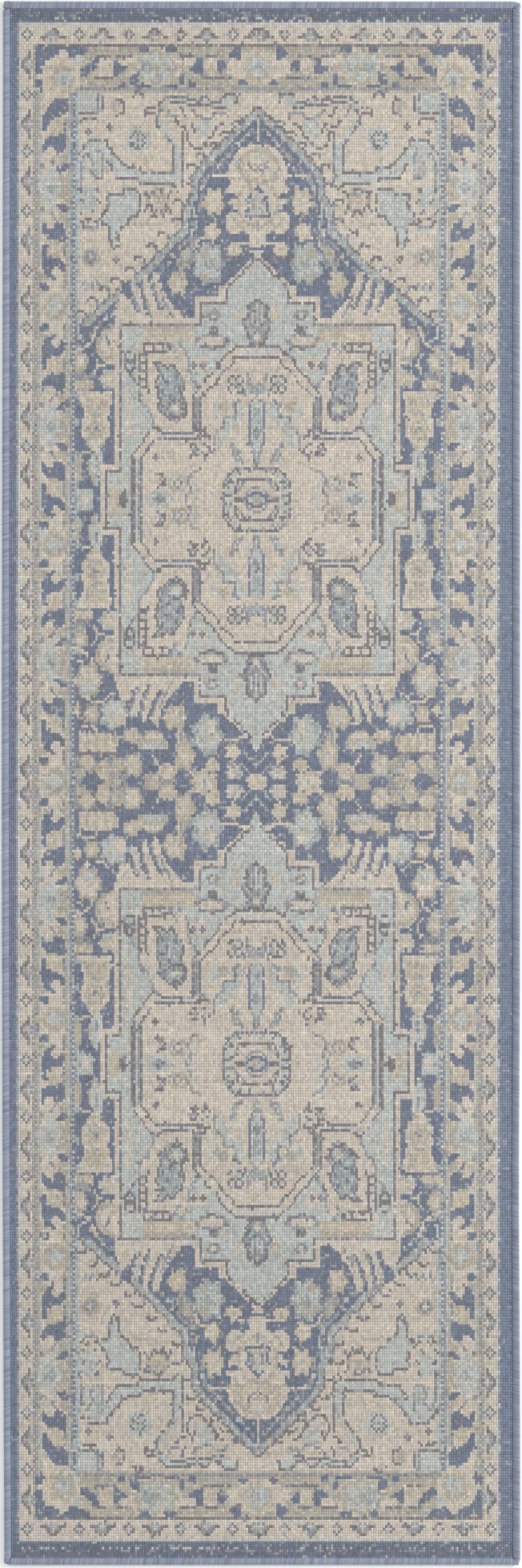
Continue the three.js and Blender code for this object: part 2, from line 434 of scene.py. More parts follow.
def draw_ground(c):
    """The blue hexagonal ground, the beaded teal ribbon round it and the row of hooks on its outer side."""
    c.fill(TEAL, *GROUND_EDGE, (-77, HALF_ROWS), (0, HALF_ROWS))
    inner = [(max(x + 2.2, -77), r + 2.2) for x, r in GROUND_EDGE]
    c.fill(NAVY, (0, inner[0][1]), *inner, (-77, HALF_ROWS), (0, HALF_ROWS))
    x, r = np.array(GROUND_EDGE).T
    along = np.concatenate([[0.0], np.cumsum(np.hypot(np.diff(x), np.diff(r)))])
    for number, reach in enumerate(np.arange(2.0, along[-1], 2.8)):
        bead = (SLATE, AQUA, SLATE, TAUPE)[number % 4]
        at_x = np.interp(reach, along, x)
        at_r = np.interp(reach, along, r)
        c.oval(bead, at_x + 4.0, at_r + 4.0, 1.0, 1.0)
        c.oval((TAUPE, AQUA)[number % 2], at_x + 1.4, at_r + 1.4, 0.8, 0.8)
    c.line(PLUM, *GROUND_EDGE)
    for x, r in ((-9, 41), (-13.5, 45), (-18.5, 49), (-24, 53), (-28, 57), (-30, 64), (-34, 70),
                 (-34, 77), (-40, 82), (-45, 86.5), (-50, 91), (-54, 95), (-60, 99), (-65, 102.5),
                 (-70, 106.5), (-75, 111)):
        c.line(PLUM, (x - 2, r + 1), (x - 1, r), (x + 1, r), (x + 2, r + 2))
        c.line(SLATE, (x + 2, r + 2), (x + 2, r + 3))


def draw_head_palmette(c):
    """The tall ivory palmette under the apex, with an aqua vase at its heart."""
    c.fill(IVORY, (1, 49.5), (-4, 50), (-8, 52), (-10.5, 55), (-12.5, 58), (-13.5, 62), (-11, 63.5),
           (-13, 66), (-13, 68), (-9, 68), (-9, 69.5), (-13, 70), (-12.5, 72), (-10, 72.5), (-10, 74.5),
           (-13.5, 76), (-14, 80), (-11.5, 83), (-4, 82), (-9, 87), (-3, 86.5), (-3, 89), (1, 92))
    c.oval(SAND, 0, 58, 9.5, 6.4)
    c.ring(TAUPE, 0, 58, 8.5, 6.0)
    c.oval(IVORY, 0, 57.5, 5.4, 4.4)
    c.line(SLATE, (-4, 56), (-4, 58), (-2, 59), (0, 60))
    c.line(TAUPE, (-2, 57), (0, 58))
    c.oval(AQUA, 0, 54, 1.6, 1.4)
    c.line(TAUPE, (-12, 62), (-6, 62), (-4, 64))
    c.line(IVORY, (-20, 61), (-13, 61))
    c.ring(TAUPE, 0, 72, 8.2, 8.4)
    c.line(TAUPE, (-11, 76), (-9, 80), (-5, 82))
    c.shape(AQUA, NAVY, (1, 65), (-2, 67), (-3, 69), (-5, 70), (-4, 72), (-4, 74), (-5, 76), (1, 77))
    c.line(SLATE, (-2, 70), (-2, 74))
    c.line(SAND, (-1, 68), (-1, 75))
    c.line(SLATE, (0, 78), (0, 81))
    c.fill(NAVY, (-3.5, 83), (-9, 83), (-10, 85.5), (-3, 86.5))
    c.line(NAVY, (-7, 88), (0, 88))
    c.blossom(SAND, IVORY, TAUPE, -10.0, 89.0, 2.8, 3.2)
    c.line(PLUM, (-5, 90), (-8, 92), (-14, 91))


def draw_ground_flowers(c):
    """Flowers on the blue ground between the apex and the medallion."""
    c.fill(SLATE, (-31, 85), (-26, 83), (-24, 85), (-27, 88), (-28, 94), (-31, 96), (-35, 93), (-34, 88))
    c.oval(TAUPE, -30.5, 90, 2.2, 2.8)
    c.line(NAVY, (-29, 86), (-33, 89), (-34, 92))
    c.blossom(SAND, IVORY, AQUA, -18.5, 71, 4.0, 5.0)
    c.line(TAUPE, (-19, 76), (-18, 79))
    c.blossom(SAND, IVORY, IVORY, -19.2, 82.3, 3.4, 3.4, 5)
    c.line(IVORY, (-23, 84), (-25, 85), (-27, 88))
    c.blossom(TEAL, AQUA, TEAL, -20.8, 94, 6.6, 7.6, 7)
    c.oval(TAUPE, -22.5, 90, 2.4, 2.0)
    c.oval(TAUPE, -23, 98.5, 2.0, 1.8)
    c.line(SAND, (-18, 90), (-17, 92))
    c.line(TAUPE, (-30, 88), (-31, 94), (-32, 97))
    c.blossom(TAUPE, SAND, IVORY, -33.8, 101.0, 4.2, 4.6)
    c.line(TAUPE, (-33, 97), (-34, 92), (-37, 90))
    for x, r in ((-27, 72), (-29, 74), (-26, 78), (-28, 81)):
        c.line(AQUA, (x, r), (x, r + 2))
    for x, r in ((-22, 62), (-19, 58), (-16, 60), (-14, 55), (-11, 51)):
        c.line(SLATE, (x, r), (x + 1, r - 2))
    c.line(NAVY, (-13, 69), (-9, 69))
    c.line(NAVY, (-13, 74), (-9, 74))


def draw_feathers(c):
    """Four curved ivory feathers that rise from the medallion's shoulder."""
    c.fill(IVORY, (-60, 116), (-60, 110), (-57.5, 104.5), (-55.5, 105), (-54, 107), (-53, 103),
           (-51, 100.5), (-49.5, 103), (-48.5, 98.5), (-46.5, 98), (-45.5, 101), (-44, 97), (-42, 98),
           (-40.5, 103), (-37, 108), (-31, 114), (-31, 116))
    c.line(AQUA, (-52, 102), (-50, 107))
    for streak in (((-54, 104), (-53, 108), (-51, 111)), ((-50, 101), (-49, 105), (-48, 109), (-46, 112)),
                   ((-46, 99), (-45, 103), (-43, 107), (-41, 110))):
        c.line(NAVY, *streak)
        c.line(SLATE, *[(x + 1, r) for x, r in streak])
    c.line(SLATE, (-41, 104), (-39, 109), (-36, 113))
    c.fill(NAVY, (-57, 101), (-53, 99.5), (-53.5, 104), (-55, 107), (-57.5, 104))
    c.oval(SAND, -56, 111.5, 1.8, 1.8)


MEDALLION_EDGE = ((0, 90), (-13.5, 101.5), (-16.5, 102), (-16.5, 106), (-26, 106), (-26, 114), (-60, 114),
                  (-60, 168.5), (-66.5, 168.5), (-66.5, 181))
MEDALLION_LINE = ((0, 92), (-11, 101), (-13, 103), (-13, 108), (-24, 108), (-24, 116), (-58, 116),
                  (-58, 170), (-64, 170), (-64, 181))
FRAME_OUTER = ((0, 124), (-8, 124), (-11, 126), (-20, 135), (-24, 139), (-26, 141), (-27, 142), (-27, 156),
               (-40, 156), (-43, 154), (-53, 164), (-53, 181))
FRAME_INNER = ((0, 128), (-8, 128), (-12, 132), (-19, 139), (-24, 143), (-24, 158), (-42, 158),
               (-49, 165), (-49, 181))


def draw_medallion(c):
    """Upper left quarter of the medallion: its stepped edge, the frame and all that is inside."""
    c.fill(IVORY, *MEDALLION_EDGE, (1, 181), (1, 90))
    c.fill(AQUA, *MEDALLION_LINE, (1, 181), (1, 92))
    c.line(PLUM, *MEDALLION_LINE)
    for x in range(-50, -24, 3):
        c.box(SLATE, x, x + 1, 116, 116)
    c.box(TAUPE, -48, -25, 117, 118)
    c.box(SAND, -48, -26, 119, 122)
    c.box(AQUA, -26, -24, 117, 122)
    c.fill(IVORY, (-55, 142), (-53, 146), (-53, 156), (-55, 160))
    draw_pendant(c)
    draw_vase_flower(c)
    draw_seed_corner(c)
    c.fill(IVORY, *FRAME_OUTER, (1, 181), (1, 124))
    c.line(PLUM, *FRAME_OUTER)
    c.line(MIST, (0, 126), (-8, 126))
    c.box(SLATE, -26, -25, 143, 155)
    c.line(MIST, (-28, 157), (-42, 157))
    c.line(PLUM, (-52, 165), (-52, 181))
    c.line(AQUA, (-51, 165), (-51, 181))
    c.line(SLATE, (-50, 166), (-50, 181))
    c.line(PLUM, *FRAME_INNER)
    draw_frame_flowers(c)
    draw_inner_field(c)
    draw_rosette(c)


def draw_pendant(c):
    """The dark hanging palmette between the medallion's apex and the frame."""
    c.shape(SLATE, PLUM, (1, 106), (-2, 108), (-4, 109), (-4, 112), (-4, 114), (-6, 115), (-5, 118),
            (-4, 121), (-3, 123), (1, 124))
    c.line(AQUA, (0, 108), (0, 116))
    c.line(AQUA, (-2, 111), (-2, 115))
    c.line(TEAL, (-4, 116), (-2, 119))
    c.fill(IVORY, (1, 118), (-2, 121), (1, 123.5))
    c.fill(SAND, (-9, 112), (-6, 110), (-6, 114), (-9, 116))


def draw_vase_flower(c):
    """An open ivory blossom on a dark stem, with a ring above it and two florets below."""
    c.shape(IVORY, SLATE, (-22, 120), (-16, 120), (-13, 123), (-14, 124), (-24, 124), (-25, 122))
    c.line(PLUM, (-24, 124), (-21, 124))
    c.line(PLUM, (-17, 124), (-14, 124))
    c.box(SLATE, -26, -25, 121, 122)
    c.box(SLATE, -13, -12, 121, 122)
    c.box(PLUM, -20, -17, 117, 119)
    c.box(PLUM, -20, -18, 125, 125)
    c.ring(SLATE, -18.5, 113, 2.2, 1.8)
    c.box(IVORY, -19, -18, 112, 113)
    c.fill(IVORY, (-27, 129), (-22, 128), (-20, 130), (-21, 134), (-27, 133))
    c.stamp(-26.5, 131.5, CROSS, LETTERS)
    c.stamp(-22.5, 131.5, CROSS, LETTERS)


def draw_seed_corner(c):
    """Corner of the medallion: a beaded cartouche that holds a leaf-shaped seed."""
    c.fill(IVORY, (-49, 123), (-37, 123), (-35, 127), (-32, 124), (-30, 127), (-29, 134), (-27, 139),
           (-27, 156), (-40, 156), (-43, 153), (-46, 149), (-50, 142), (-50, 124))
    c.line(SLATE, (-32, 124), (-30, 127), (-29, 128), (-29, 134), (-27, 137), (-25, 140))
    c.line(SLATE, (-37, 123), (-35, 126), (-34, 128))
    c.line(SLATE, (-34, 125), (-32, 123))
    for row in (123, 126):
        c.line(PLUM, (-48, row), (-38, row))
    for x in (-48, -44, -40, -37):
        c.line(PLUM, (x, 124), (x, 125))
    for x in (-50, -47):
        c.line(PLUM, (x, 126), (x, 139))
    for row in (127, 130, 133, 136, 139):
        c.line(PLUM, (-50, row), (-47, row))
    c.line(PLUM, (-46, 140), (-46, 141))
    c.line(SLATE, (-50, 140), (-50, 144), (-48, 146), (-45, 149), (-44, 153))
    c.ring(PLUM, -54, 128.5, 2.2, 2.0)
    c.ring(PLUM, -54, 131.5, 2.2, 1.8)
    c.line(SLATE, (-54, 134), (-53, 136), (-50, 139))
    c.shape(TEAL, PLUM, (-44, 130), (-41, 130), (-38, 132), (-36, 131), (-34, 133), (-32, 136),
            (-31, 138), (-31, 140), (-32, 142), (-31, 145), (-30, 146), (-30, 149), (-32, 151),
            (-34, 152), (-37, 151), (-40, 149), (-42, 147), (-41, 145), (-42, 141), (-43, 138),
            (-42, 135), (-41, 134), (-42, 132))
    for x, r in ((-41, 134), (-39, 137), (-41, 140), (-38, 142), (-35, 135), (-34, 139), (-36, 144),
                 (-39, 146)):
        c.line(SLATE, (x, r), (x + 1, r + 1))
        c.line(DENIM, (x + 1, r), (x + 1, r + 1))
    c.ring(PLUM, -34.5, 147.5, 3.4, 3.2)
    c.oval(IVORY, -34.5, 147.5, 1.8, 1.6)
    c.box(SLATE, -40, -38, 146, 148)


def draw_frame_flowers(c):
    """Florets and hooks on the ivory between the frame and the pale inner field."""
    c.stamp(-9.5, 138.5, FLORET, LETTERS)
    c.oval(TAUPE, -14.5, 147, 2.6, 2.4)
    c.oval(AQUA, -17.5, 148, 1.6, 3.0)
    c.line(SLATE, (-4, 134), (-4, 136), (-2, 138), (0, 140))
    c.line(SLATE, (-4, 137), (-5, 142))
    c.fill(TEAL, (-4, 136), (-1, 139), (1, 139), (1, 142), (-3, 142))
    c.stamp(-43.5, 166, CROSS, LETTERS)
    c.line(PLUM, (-43, 171), (-41, 171), (-39, 173), (-39, 175), (-42, 176))
    c.line(SLATE, (-42, 172), (-40, 174))
    c.ring(TAUPE, -33.5, 175, 3.4, 2.6)
    c.ring(SLATE, -33.5, 175, 1.6, 1.2)
    c.line(PLUM, (-28, 161), (-27, 160), (-25, 162), (-28, 164), (-25, 164))
    c.line(SLATE, (-29, 162), (-26, 162))
    c.line(PLUM, (-23, 160), (-21, 161), (-20, 163), (-22, 166), (-23, 163))
    c.oval(AQUA, -22, 162, 0.8, 0.8)
    c.line(PLUM, (-25, 157), (-20, 157))
    c.line(PLUM, (-23, 155), (-20, 158))
    c.oval(AQUA, -41.5, 181, 5.6, 3.4)
    c.fill(SLATE, (-46, 181), (-42, 179.4), (-41, 179.4), (-37, 181))
    c.fill(SAND, (-62, 176), (-57, 176), (-57, 181), (-62, 181))
    c.fill(PLUM, (-58, 179), (-56, 178), (-54, 181), (-58, 181))


def draw_inner_field(c):
    """The stepped field inside the frame, the pointed vase on its middle line and two slender leaves."""
    steps = ((-30, 181), (-30, 179), (-28, 178), (-28, 177), (-29, 175), (-28, 171), (-25, 170), (-24, 169))
    c.line(SLATE, *steps)
    c.line(AQUA, (-27, 172), (-26, 176), (-26, 181))
    c.line(AQUA, (-28, 180), (-27, 181))
    c.line(SLATE, (-18, 162), (-18, 157), (-16, 155), (-14, 154), (-14, 150), (-9, 150), (-9, 146),
           (-7, 144))
    c.box(SLATE, -10, -9, 145, 146)
    c.fill(AQUA, (-17, 157), (-13, 155), (-13, 151), (-8, 151), (-8, 146), (-5, 144), (-5, 150),
           (-11, 156), (-16, 163))
    c.shape(AQUA, SLATE, (1, 142), (-3, 145), (-3, 160), (-1, 163), (-1, 167), (1, 167))
    c.box(DENIM, -3, -3, 146, 160)
    c.fill(SLATE, (1, 154), (-2, 155), (-1, 158), (1, 159))
    c.box(TEAL, -1, 0, 147, 152)
    c.box(IVORY, -1, 0, 143, 144)
    c.shape(AQUA, SLATE, (-11, 160), (-9, 162), (-7, 165), (-6, 167), (-9, 166), (-10, 164))


def draw_rosette(c):
    """The scalloped ring round the middle of the medallion, with an eight-sided flower in it."""
    c.fill(AQUA, (1, 169), (-8, 169), (-11, 171), (-14, 174), (-14, 181), (1, 181))
    c.line(PLUM, (0, 169), (-8, 169), (-11, 171), (-14, 174), (-14, 181))
    for x, r in ((-3, 170), (-8, 170), (-11, 173), (-12, 176), (-12, 179)):
        c.line(PLUM, (x, r), (x, r))
    c.line(PLUM, (-13, 179), (-10, 179))
    c.line(PLUM, (-13, 175), (-10, 174))
    c.line(PLUM, (-8, 170), (-7, 171))
    c.line(PLUM, (-3, 170), (-3, 171))
    c.fill(IVORY, (1, 171), (-5, 171), (-8, 172), (-10, 175), (-10, 181), (1, 181))
    c.line(PLUM, (0, 173), (-6, 173), (-9, 176), (-9, 178))
    c.line(SLATE, (-5, 174), (-8, 177))
    c.line(PLUM, (-9, 180), (-6, 180), (-5, 181))
    c.line(SLATE, (0, 176), (-2, 176), (-4, 179), (-5, 181))
    c.fill(NAVY, (1, 178), (-2, 178), (-4, 180), (-4, 181), (1, 181))
    c.box(AQUA, -3, -2, 180, 181)
    c.box(TAUPE, -1, 0, 179, 181)


def draw_flank(c):
    """Palmettes and flowers on the blue ground between the medallion and the side border."""
    c.fill(TAUPE, (-60, 117), (-65, 118), (-68.5, 122), (-68.5, 126), (-65, 130), (-60, 130))
    c.fill(IVORY, (-60, 118), (-64, 120), (-66.5, 123), (-66.5, 126), (-64, 128), (-60, 128))
    c.line(TAUPE, (-64, 122), (-62, 126), (-60, 127))
    c.fill(NAVY, (-72, 116), (-77, 118), (-77, 124), (-72, 124))
    c.line(AQUA, (-76, 117), (-76, 121), (-74, 122))
    c.line(IVORY, (-77, 126), (-74, 125), (-71, 123), (-69, 120), (-68, 117))
    c.line(DENIM, (-64, 121), (-63, 123))
    c.fill(TAUPE, (-77, 127), (-73, 127), (-71.5, 130), (-73, 133.5), (-77, 134))
    c.oval(IVORY, -75, 130, 2.0, 2.2)
    c.line(SAND, (-70, 127), (-68, 130))
    c.box(SLATE, -77, -71, 134, 136)
    c.box(SAND, -77, -70, 137, 139)
    c.box(SLATE, -77, -71, 140, 141)
    c.line(IVORY, (-69, 134), (-68, 131), (-65, 131), (-61, 130))
    c.blossom(AQUA, SAND, IVORY, -63.0, 136.3, 3.6, 3.6)
    c.fill(IVORY, (-76, 141.5), (-61, 141.5), (-61.5, 144), (-62.5, 149), (-63.5, 151), (-62, 153),
           (-62.5, 157), (-65, 160.5), (-67, 163), (-70, 163), (-72, 161), (-74.5, 157), (-75, 153),
           (-73, 150), (-74, 147), (-75.5, 144))
    c.fill(SAND, (-73, 143.5), (-63.5, 143.5), (-64, 149), (-66, 151), (-71, 151), (-72.5, 148))
    for x in (-72, -70, -67, -65):
        c.line(TAUPE, (x, 144), (x, 147))
    c.line(TEAL, (-70, 149), (-67, 149))
    c.blossom(TAUPE, SAND, SLATE, -68.6, 155.2, 4.0, 3.8)
    c.line(TEAL, (-70, 155), (-67, 155))
    c.line(TAUPE, (-73, 158), (-71, 161), (-69, 161), (-66, 161), (-64, 158))
    c.box(NAVY, -77, -76, 144, 150)
    c.box(NAVY, -77, -76, 154, 162)
    c.line(SAND, (-77, 166), (-73, 163), (-71, 163))
    c.box(TAUPE, -77, -75, 166, 173)
    c.fill(AQUA, (-69.5, 163), (-66, 163), (-65.5, 168), (-66.5, 172), (-68, 176), (-70.5, 171),
           (-70.5, 166))
    c.oval(SLATE, -68, 167, 1.0, 1.8)
    c.line(TAUPE, (-71, 166), (-71, 171), (-69, 175))
    c.fill(AQUA, (-76, 177), (-70, 176.5), (-69, 179), (-69, 181), (-76, 181))
    c.line(TEAL, (-76, 180), (-70, 180))
    c.oval(IVORY, -72.5, 181.0, 1.6, 1.6)


def draw_middle(c):
    """Crowded flower sprays on the blue ground between the two medallions."""
    c.fill(NAVY, (-77, 240), (-70, 244), (-64, 247), (-60.5, 246), (-57, 256.5), (-54.5, 257), (-53, 262),
           (-50, 260.5), (-47.5, 263.5), (-45, 261.5), (-42, 264.5), (-40, 262), (-31, 272), (-14, 272),
           (-5, 269.5), (1, 271), (1, 286), (-77, 286))
    c.fill(SLATE, (-77, 275), (-58, 275), (-50, 275), (-48, 282), (-36, 281), (-27, 276), (-27, 286),
           (-77, 286))
    draw_outer_spray(c)
    draw_low_spray(c)
    draw_inner_spray(c)


def draw_outer_spray(c):
    """Flowers above the middle row, from the side border inwards."""
    c.blossom(TAUPE, IVORY, SAND, -71.5, 247.5, 5.6, 6.0)
    c.oval(AQUA, -71.5, 250, 3.6, 1.8)
    c.line(IVORY, (-74, 253), (-70, 255), (-65, 255), (-61, 252))
    c.line(PLUM, (-77, 256), (-66, 256))
    c.blossom(TAUPE, SAND, IVORY, -70, 260, 3.2, 3.0)
    c.oval(SAND, -76, 258.5, 1.6, 2.0)
    c.blossom(TEAL, AQUA, AQUA, -60.5, 260, 6.0, 5.8, 7)
    c.oval(IVORY, -58, 261, 3.0, 3.2)
    c.line(PLUM, (-76, 263), (-67, 263))
    c.line(IVORY, (-75, 266), (-74, 264), (-69, 264), (-68, 266))
    c.fill(SAND, (-75.5, 267), (-66, 266.5), (-59, 268), (-58.5, 272), (-61, 273.8), (-75.5, 273.8))
    for x in range(-74, -60, 4):
        c.line(IVORY, (x, 267), (x, 273))
        c.line(TAUPE, (x + 2, 267), (x + 2, 273))
    c.line(PLUM, (-76, 274), (-58, 274))
    c.blossom(TAUPE, SAND, IVORY, -53, 268, 3.8, 3.0, 5)
    c.fill(TAUPE, (-50.5, 273.5), (-50, 270), (-47, 267), (-44, 265.5), (-40, 267), (-38, 270),
           (-37.5, 273.5))
    c.fill(IVORY, (-48, 268.8), (-45, 266.5), (-41, 266.8), (-39, 268.8))
    c.fill(AQUA, (-48.5, 273), (-48, 270.5), (-40, 270.5), (-39.5, 273))


def draw_low_spray(c):
    """Flowers and buds next to the rug's middle row, outside the big inner flower."""
    c.oval(NAVY, -66.5, 276.5, 2.2, 1.4)
    c.oval(NAVY, -57.0, 275.5, 2.6, 1.4)
    c.oval(SAND, -72, 278, 3.4, 2.8)
    c.oval(TAUPE, -74, 281.5, 3.0, 1.6)
    c.oval(SAND, -65, 280.5, 3.0, 3.4)
    c.oval(TAUPE, -59, 279, 2.4, 3.0)
    c.oval(NAVY, -70, 284.5, 4.0, 2.4)
    c.oval(TAUPE, -61, 285, 3.4, 2.0)
    c.blossom(TAUPE, IVORY, SAND, -52.5, 278.8, 4.0, 4.2)
    c.oval(NAVY, -51.5, 285, 4.4, 2.0)
    c.fill(NAVY, (-48, 275), (-45, 275), (-42, 280), (-45, 281.5), (-48, 279))
    c.oval(NAVY, -40.5, 276.5, 2.6, 2.0)
    c.line(IVORY, (-44, 275), (-43, 277), (-40, 280))
    c.oval(TAUPE, -44.5, 283.5, 3.0, 2.0)
    c.oval(SAND, -37.5, 281, 3.6, 3.4)


def draw_inner_spray(c):
    """Flowers round the middle of the rug, between the points of the two medallions."""
    c.box(IVORY, -33, -33, 264, 270)
    c.blossom(TAUPE, SAND, AQUA, -35, 261.5, 4.6, 4.2)
    c.blossom(TEAL, AQUA, TEAL, -20.5, 268, 5.6, 7.2, 7)
    c.oval(AQUA, -22.5, 269, 2.6, 4.4)
    c.oval(IVORY, -19, 264.5, 1.6, 2.6)
    c.oval(AQUA, -18, 271, 2.0, 2.0)
    c.line(SAND, (-21, 265), (-20, 269), (-21, 273))
    c.blossom(TAUPE, SAND, AQUA, -30.5, 275.5, 4.4, 5.2, 5)
    c.line(IVORY, (-33, 273), (-29, 279))
    c.oval(NAVY, -31, 283, 3.6, 2.6)
    c.fill(NAVY, (-26.5, 276), (-24, 276), (-23, 280), (-26, 281))
    c.line(IVORY, (-28, 281), (-23, 281))
    c.oval(SAND, -18.5, 279, 3.0, 2.8)
    c.blossom(SAND, IVORY, TEAL, -22, 286, 6.0, 5.6, 8)
    c.line(IVORY, (-16, 270), (-12, 269), (-8, 269), (-5, 268))
    c.line(PLUM, (-14, 271), (-8, 270))
    c.blossom(SAND, IVORY, SAND, -10.0, 273.8, 3.2, 2.8, 5)
    c.blossom(TEAL, IVORY, AQUA, -9.4, 281.6, 4.0, 2.8, 6)
    c.line(SAND, (-10, 277), (-9, 278))
    for x, r in ((-5, 274), (-3, 276), (-6, 278), (-1, 278), (-4, 280)):
        c.line(TEAL, (x, r), (x + 1, r + 1))
    c.fill(AQUA, (-3, 270), (1, 269), (1, 275.5))
    c.oval(IVORY, 0, 285.5, 4.4, 3.6)


def draw_quarter():
    """The upper left quarter of the whole pattern."""
    c = Cartoon(HALF_COLUMNS, HALF_ROWS, 1 - HALF_COLUMNS, 0)
    draw_bands(c)
    draw_guard(c)
    draw_spandrel(c)
    draw_ground(c)
    draw_head_palmette(c)
    draw_ground_flowers(c)
    draw_feathers(c)
    draw_flank(c)
    draw_medallion(c)
    turned = [int(2 * MEDALLION_MIDDLE) - row for row in range(TURN_ROW, TURN_END)]
    c.grid[TURN_ROW:TURN_END, FIELD_COLUMN:] = c.grid[turned, FIELD_COLUMN:]
    draw_middle(c)
    draw_side_border(c)
    draw_head_border(c)
    return c.grid


def draw_pattern():
    """The whole pattern: the quarter turned over to the right and to the foot end."""
    quarter = draw_quarter()
    left = np.vstack([quarter, quarter[::-1]])
    left = np.vstack([left] + [left[-1:]] * FOOT_BAND_ROWS)
    right = left[:, -2::-1]
    return np.hstack([left, right] + [right[:, -1:]] * RIGHT_BAND_EXTRA)


# ---------------------------------------------------------------------------
# Where things lie: the weave is a little bowed, and the rug doesn't lie dead flat or dead straight.
# ---------------------------------------------------------------------------
RIGHT_BAND_EXTRA = 2        # columns more of the plain band on the right, where the weave runs wide
KNOT_WIDTH = 2.79 * MM
ROW_HEIGHT = 3.201 * MM
LIP_INSET = 7.3 * MM        # from the edge of the rug to the lip of the serging on the pile
LIP = HALF_WIDTH - LIP_INSET
END_LIP = HALF_LENGTH - LIP_INSET
BAND_EDGE = 101.5           # knots from the middle line to the plain band
HALF_GRID = 106.5           # and to the edge of the pattern
TUCK = 1.2 * MM             # how far the pile goes under the lip of the serging
WEAVE_OFFSET = -2.3 * MM    # the pattern sits this far to the left of the rug's middle
BOW_MIDDLE = -3.4 * MM      # more of it half way along, on the middle line
BOW_SIDE = -1.5 * MM        # and at the plain band
LIFT = 0.5 * MM             # how far the edge rises off the floor, on average
KNOT_RISE = 1.5 * MM        # from the groove between knots up to the top of a knot

# How far the long sides stray from straight, in millimetres. Places are shares of the way from head to foot.
LEFT_START = 0.4
LEFT_WAIST = 1.4
LEFT_FLARE = 1.7
RIGHT_OUT = 1.2
RIGHT_DIP = 1.3
RIGHT_DIP_PLACE = 0.76
RIGHT_DIP_REACH = 0.09
STRAY_FROM = 0.93           # share of the half width where the drift begins,
STRAY_OVER = 0.05           # and the share that it takes to reach its full size

# Waves in the edge: share of the lift, radians a metre along, radians between sides, radians a metre across.
WAVES = ((0.6, 9.0, 1.3, 0.0), (0.4, 21.0, -0.7, 4.0))


def lay_down(points):
    """Gives points the faint drift of the outline and the faint waves of a rug on a floor."""
    x, y, z = points.T
    t = (HALF_LENGTH - y) / (2 * HALF_LENGTH)
    left = LEFT_START - LEFT_WAIST * np.sin(np.pi * t) ** 2 + LEFT_FLARE * np.clip(t, 0.0, 1.0) ** 6
    right = RIGHT_OUT - RIGHT_DIP * np.exp(-((t - RIGHT_DIP_PLACE) / RIGHT_DIP_REACH) ** 2)
    at_edge = np.clip((abs(x) / HALF_WIDTH - STRAY_FROM) / STRAY_OVER, 0.0, 1.0)
    drift = np.where(x < 0, left, right) * MM * at_edge
    towards_edge = np.clip(abs(x) / HALF_WIDTH, 0, 1) ** 6 + np.clip(abs(y) / HALF_LENGTH, 0, 1) ** 40
    wave = 1.0
    for share, along, shift, across in WAVES:
        wave = wave + share * np.sin(along * y + shift * np.sign(x) + across * x)
    return np.stack([x + drift, y, z + LIFT * towards_edge * wave], axis=1)


def knot_places(u, v, rows):
    """Plan places of grid points: u in knots from the middle line, v in rows from the head end."""
    t = v / rows
    side = np.clip(abs(u) / BAND_EDGE, 0, 1)
    arch = np.sin(np.pi * t)
    shift = WEAVE_OFFSET + arch * (BOW_MIDDLE + (BOW_SIDE - BOW_MIDDLE) * side)
    band = np.sign(u) * BAND_EDGE * KNOT_WIDTH + shift
    outermost = np.where(u < 0, HALF_GRID, HALF_GRID + RIGHT_BAND_EXTRA)
    share = (abs(u) - BAND_EDGE) / (outermost - BAND_EDGE)
    in_band = band + (np.sign(u) * (LIP + TUCK) - band) * share
    x = np.where(abs(u) <= BAND_EDGE, u * KNOT_WIDTH + shift, in_band)
    first = (rows / 2 - 1) * ROW_HEIGHT
    end = END_LIP + TUCK
    y = np.interp(v, (0, 1, rows - 1, rows), (end, first, -first, -end))
    return x, y


def srgb(red, green, blue):
    """A colour seen as 0 to 255, as the linear colour that shaders work in."""
    seen = np.array([red, green, blue]) / 255.0
    return np.where(seen <= 0.04045, seen / 12.92, ((seen + 0.055) / 1.055) ** 2.4)


# ---------------------------------------------------------------------------
# Yarns
# ---------------------------------------------------------------------------
YARNS = (
    ("denim", srgb(122, 131, 151)),
    ("navy", srgb(117, 124, 140)),
    ("plum", srgb(129, 125, 128)),
    ("slate", srgb(150, 153, 158)),
    ("teal", srgb(163, 168, 167)),
    ("aqua", srgb(182, 186, 182)),
    ("mist", srgb(190, 191, 191)),
    ("taupe", srgb(176, 170, 158)),
    ("sand", srgb(191, 182, 166)),
    ("ivory", srgb(199, 190, 178)),
)
YARN_GAIN = 0.885           # evens out what the grooves between the knots take away
# Painted shade and painted highlight: each knot's colour is painted darker at its corners, down in the
# grooves between knots, and lighter on its crown.
PAINTED_GROOVE_SHADE = 0.74
PAINTED_CROWN_HIGHLIGHT = 1.32
KNOT_SPREAD = 0.09          # how much one knot's lightness differs from the next one's
TINT_SPREAD = 0.022         # and its warmth
ROW_SPREAD = 0.03           # how much one row differs from the next one,
DRIFT_SPREAD = 0.02         # how much the lightness drifts over DRIFT_ROWS rows,
DRIFT_ROWS = 17
COLUMN_SPREAD = 0.02        # and how much one column differs from the next one
LIGHT_RANGE = (0.7, 1.35)   # no knot is darker or lighter than this
# Painted shade: the rows of the plain band at each end are painted darker, for pile that lies differently
# there.
END_ROWS = 5                # rows of the plain band at each end, where the pile is the darkest
END_PAINTED_SHADE = 0.87
STRAY_SHARE = 0.13          # share of the knots that are tied in a neighbour's yarn
CLEAN_ROWS = 7              # rows at each end and columns at each side that have no stray knots
CLEAN_COLUMNS = 14

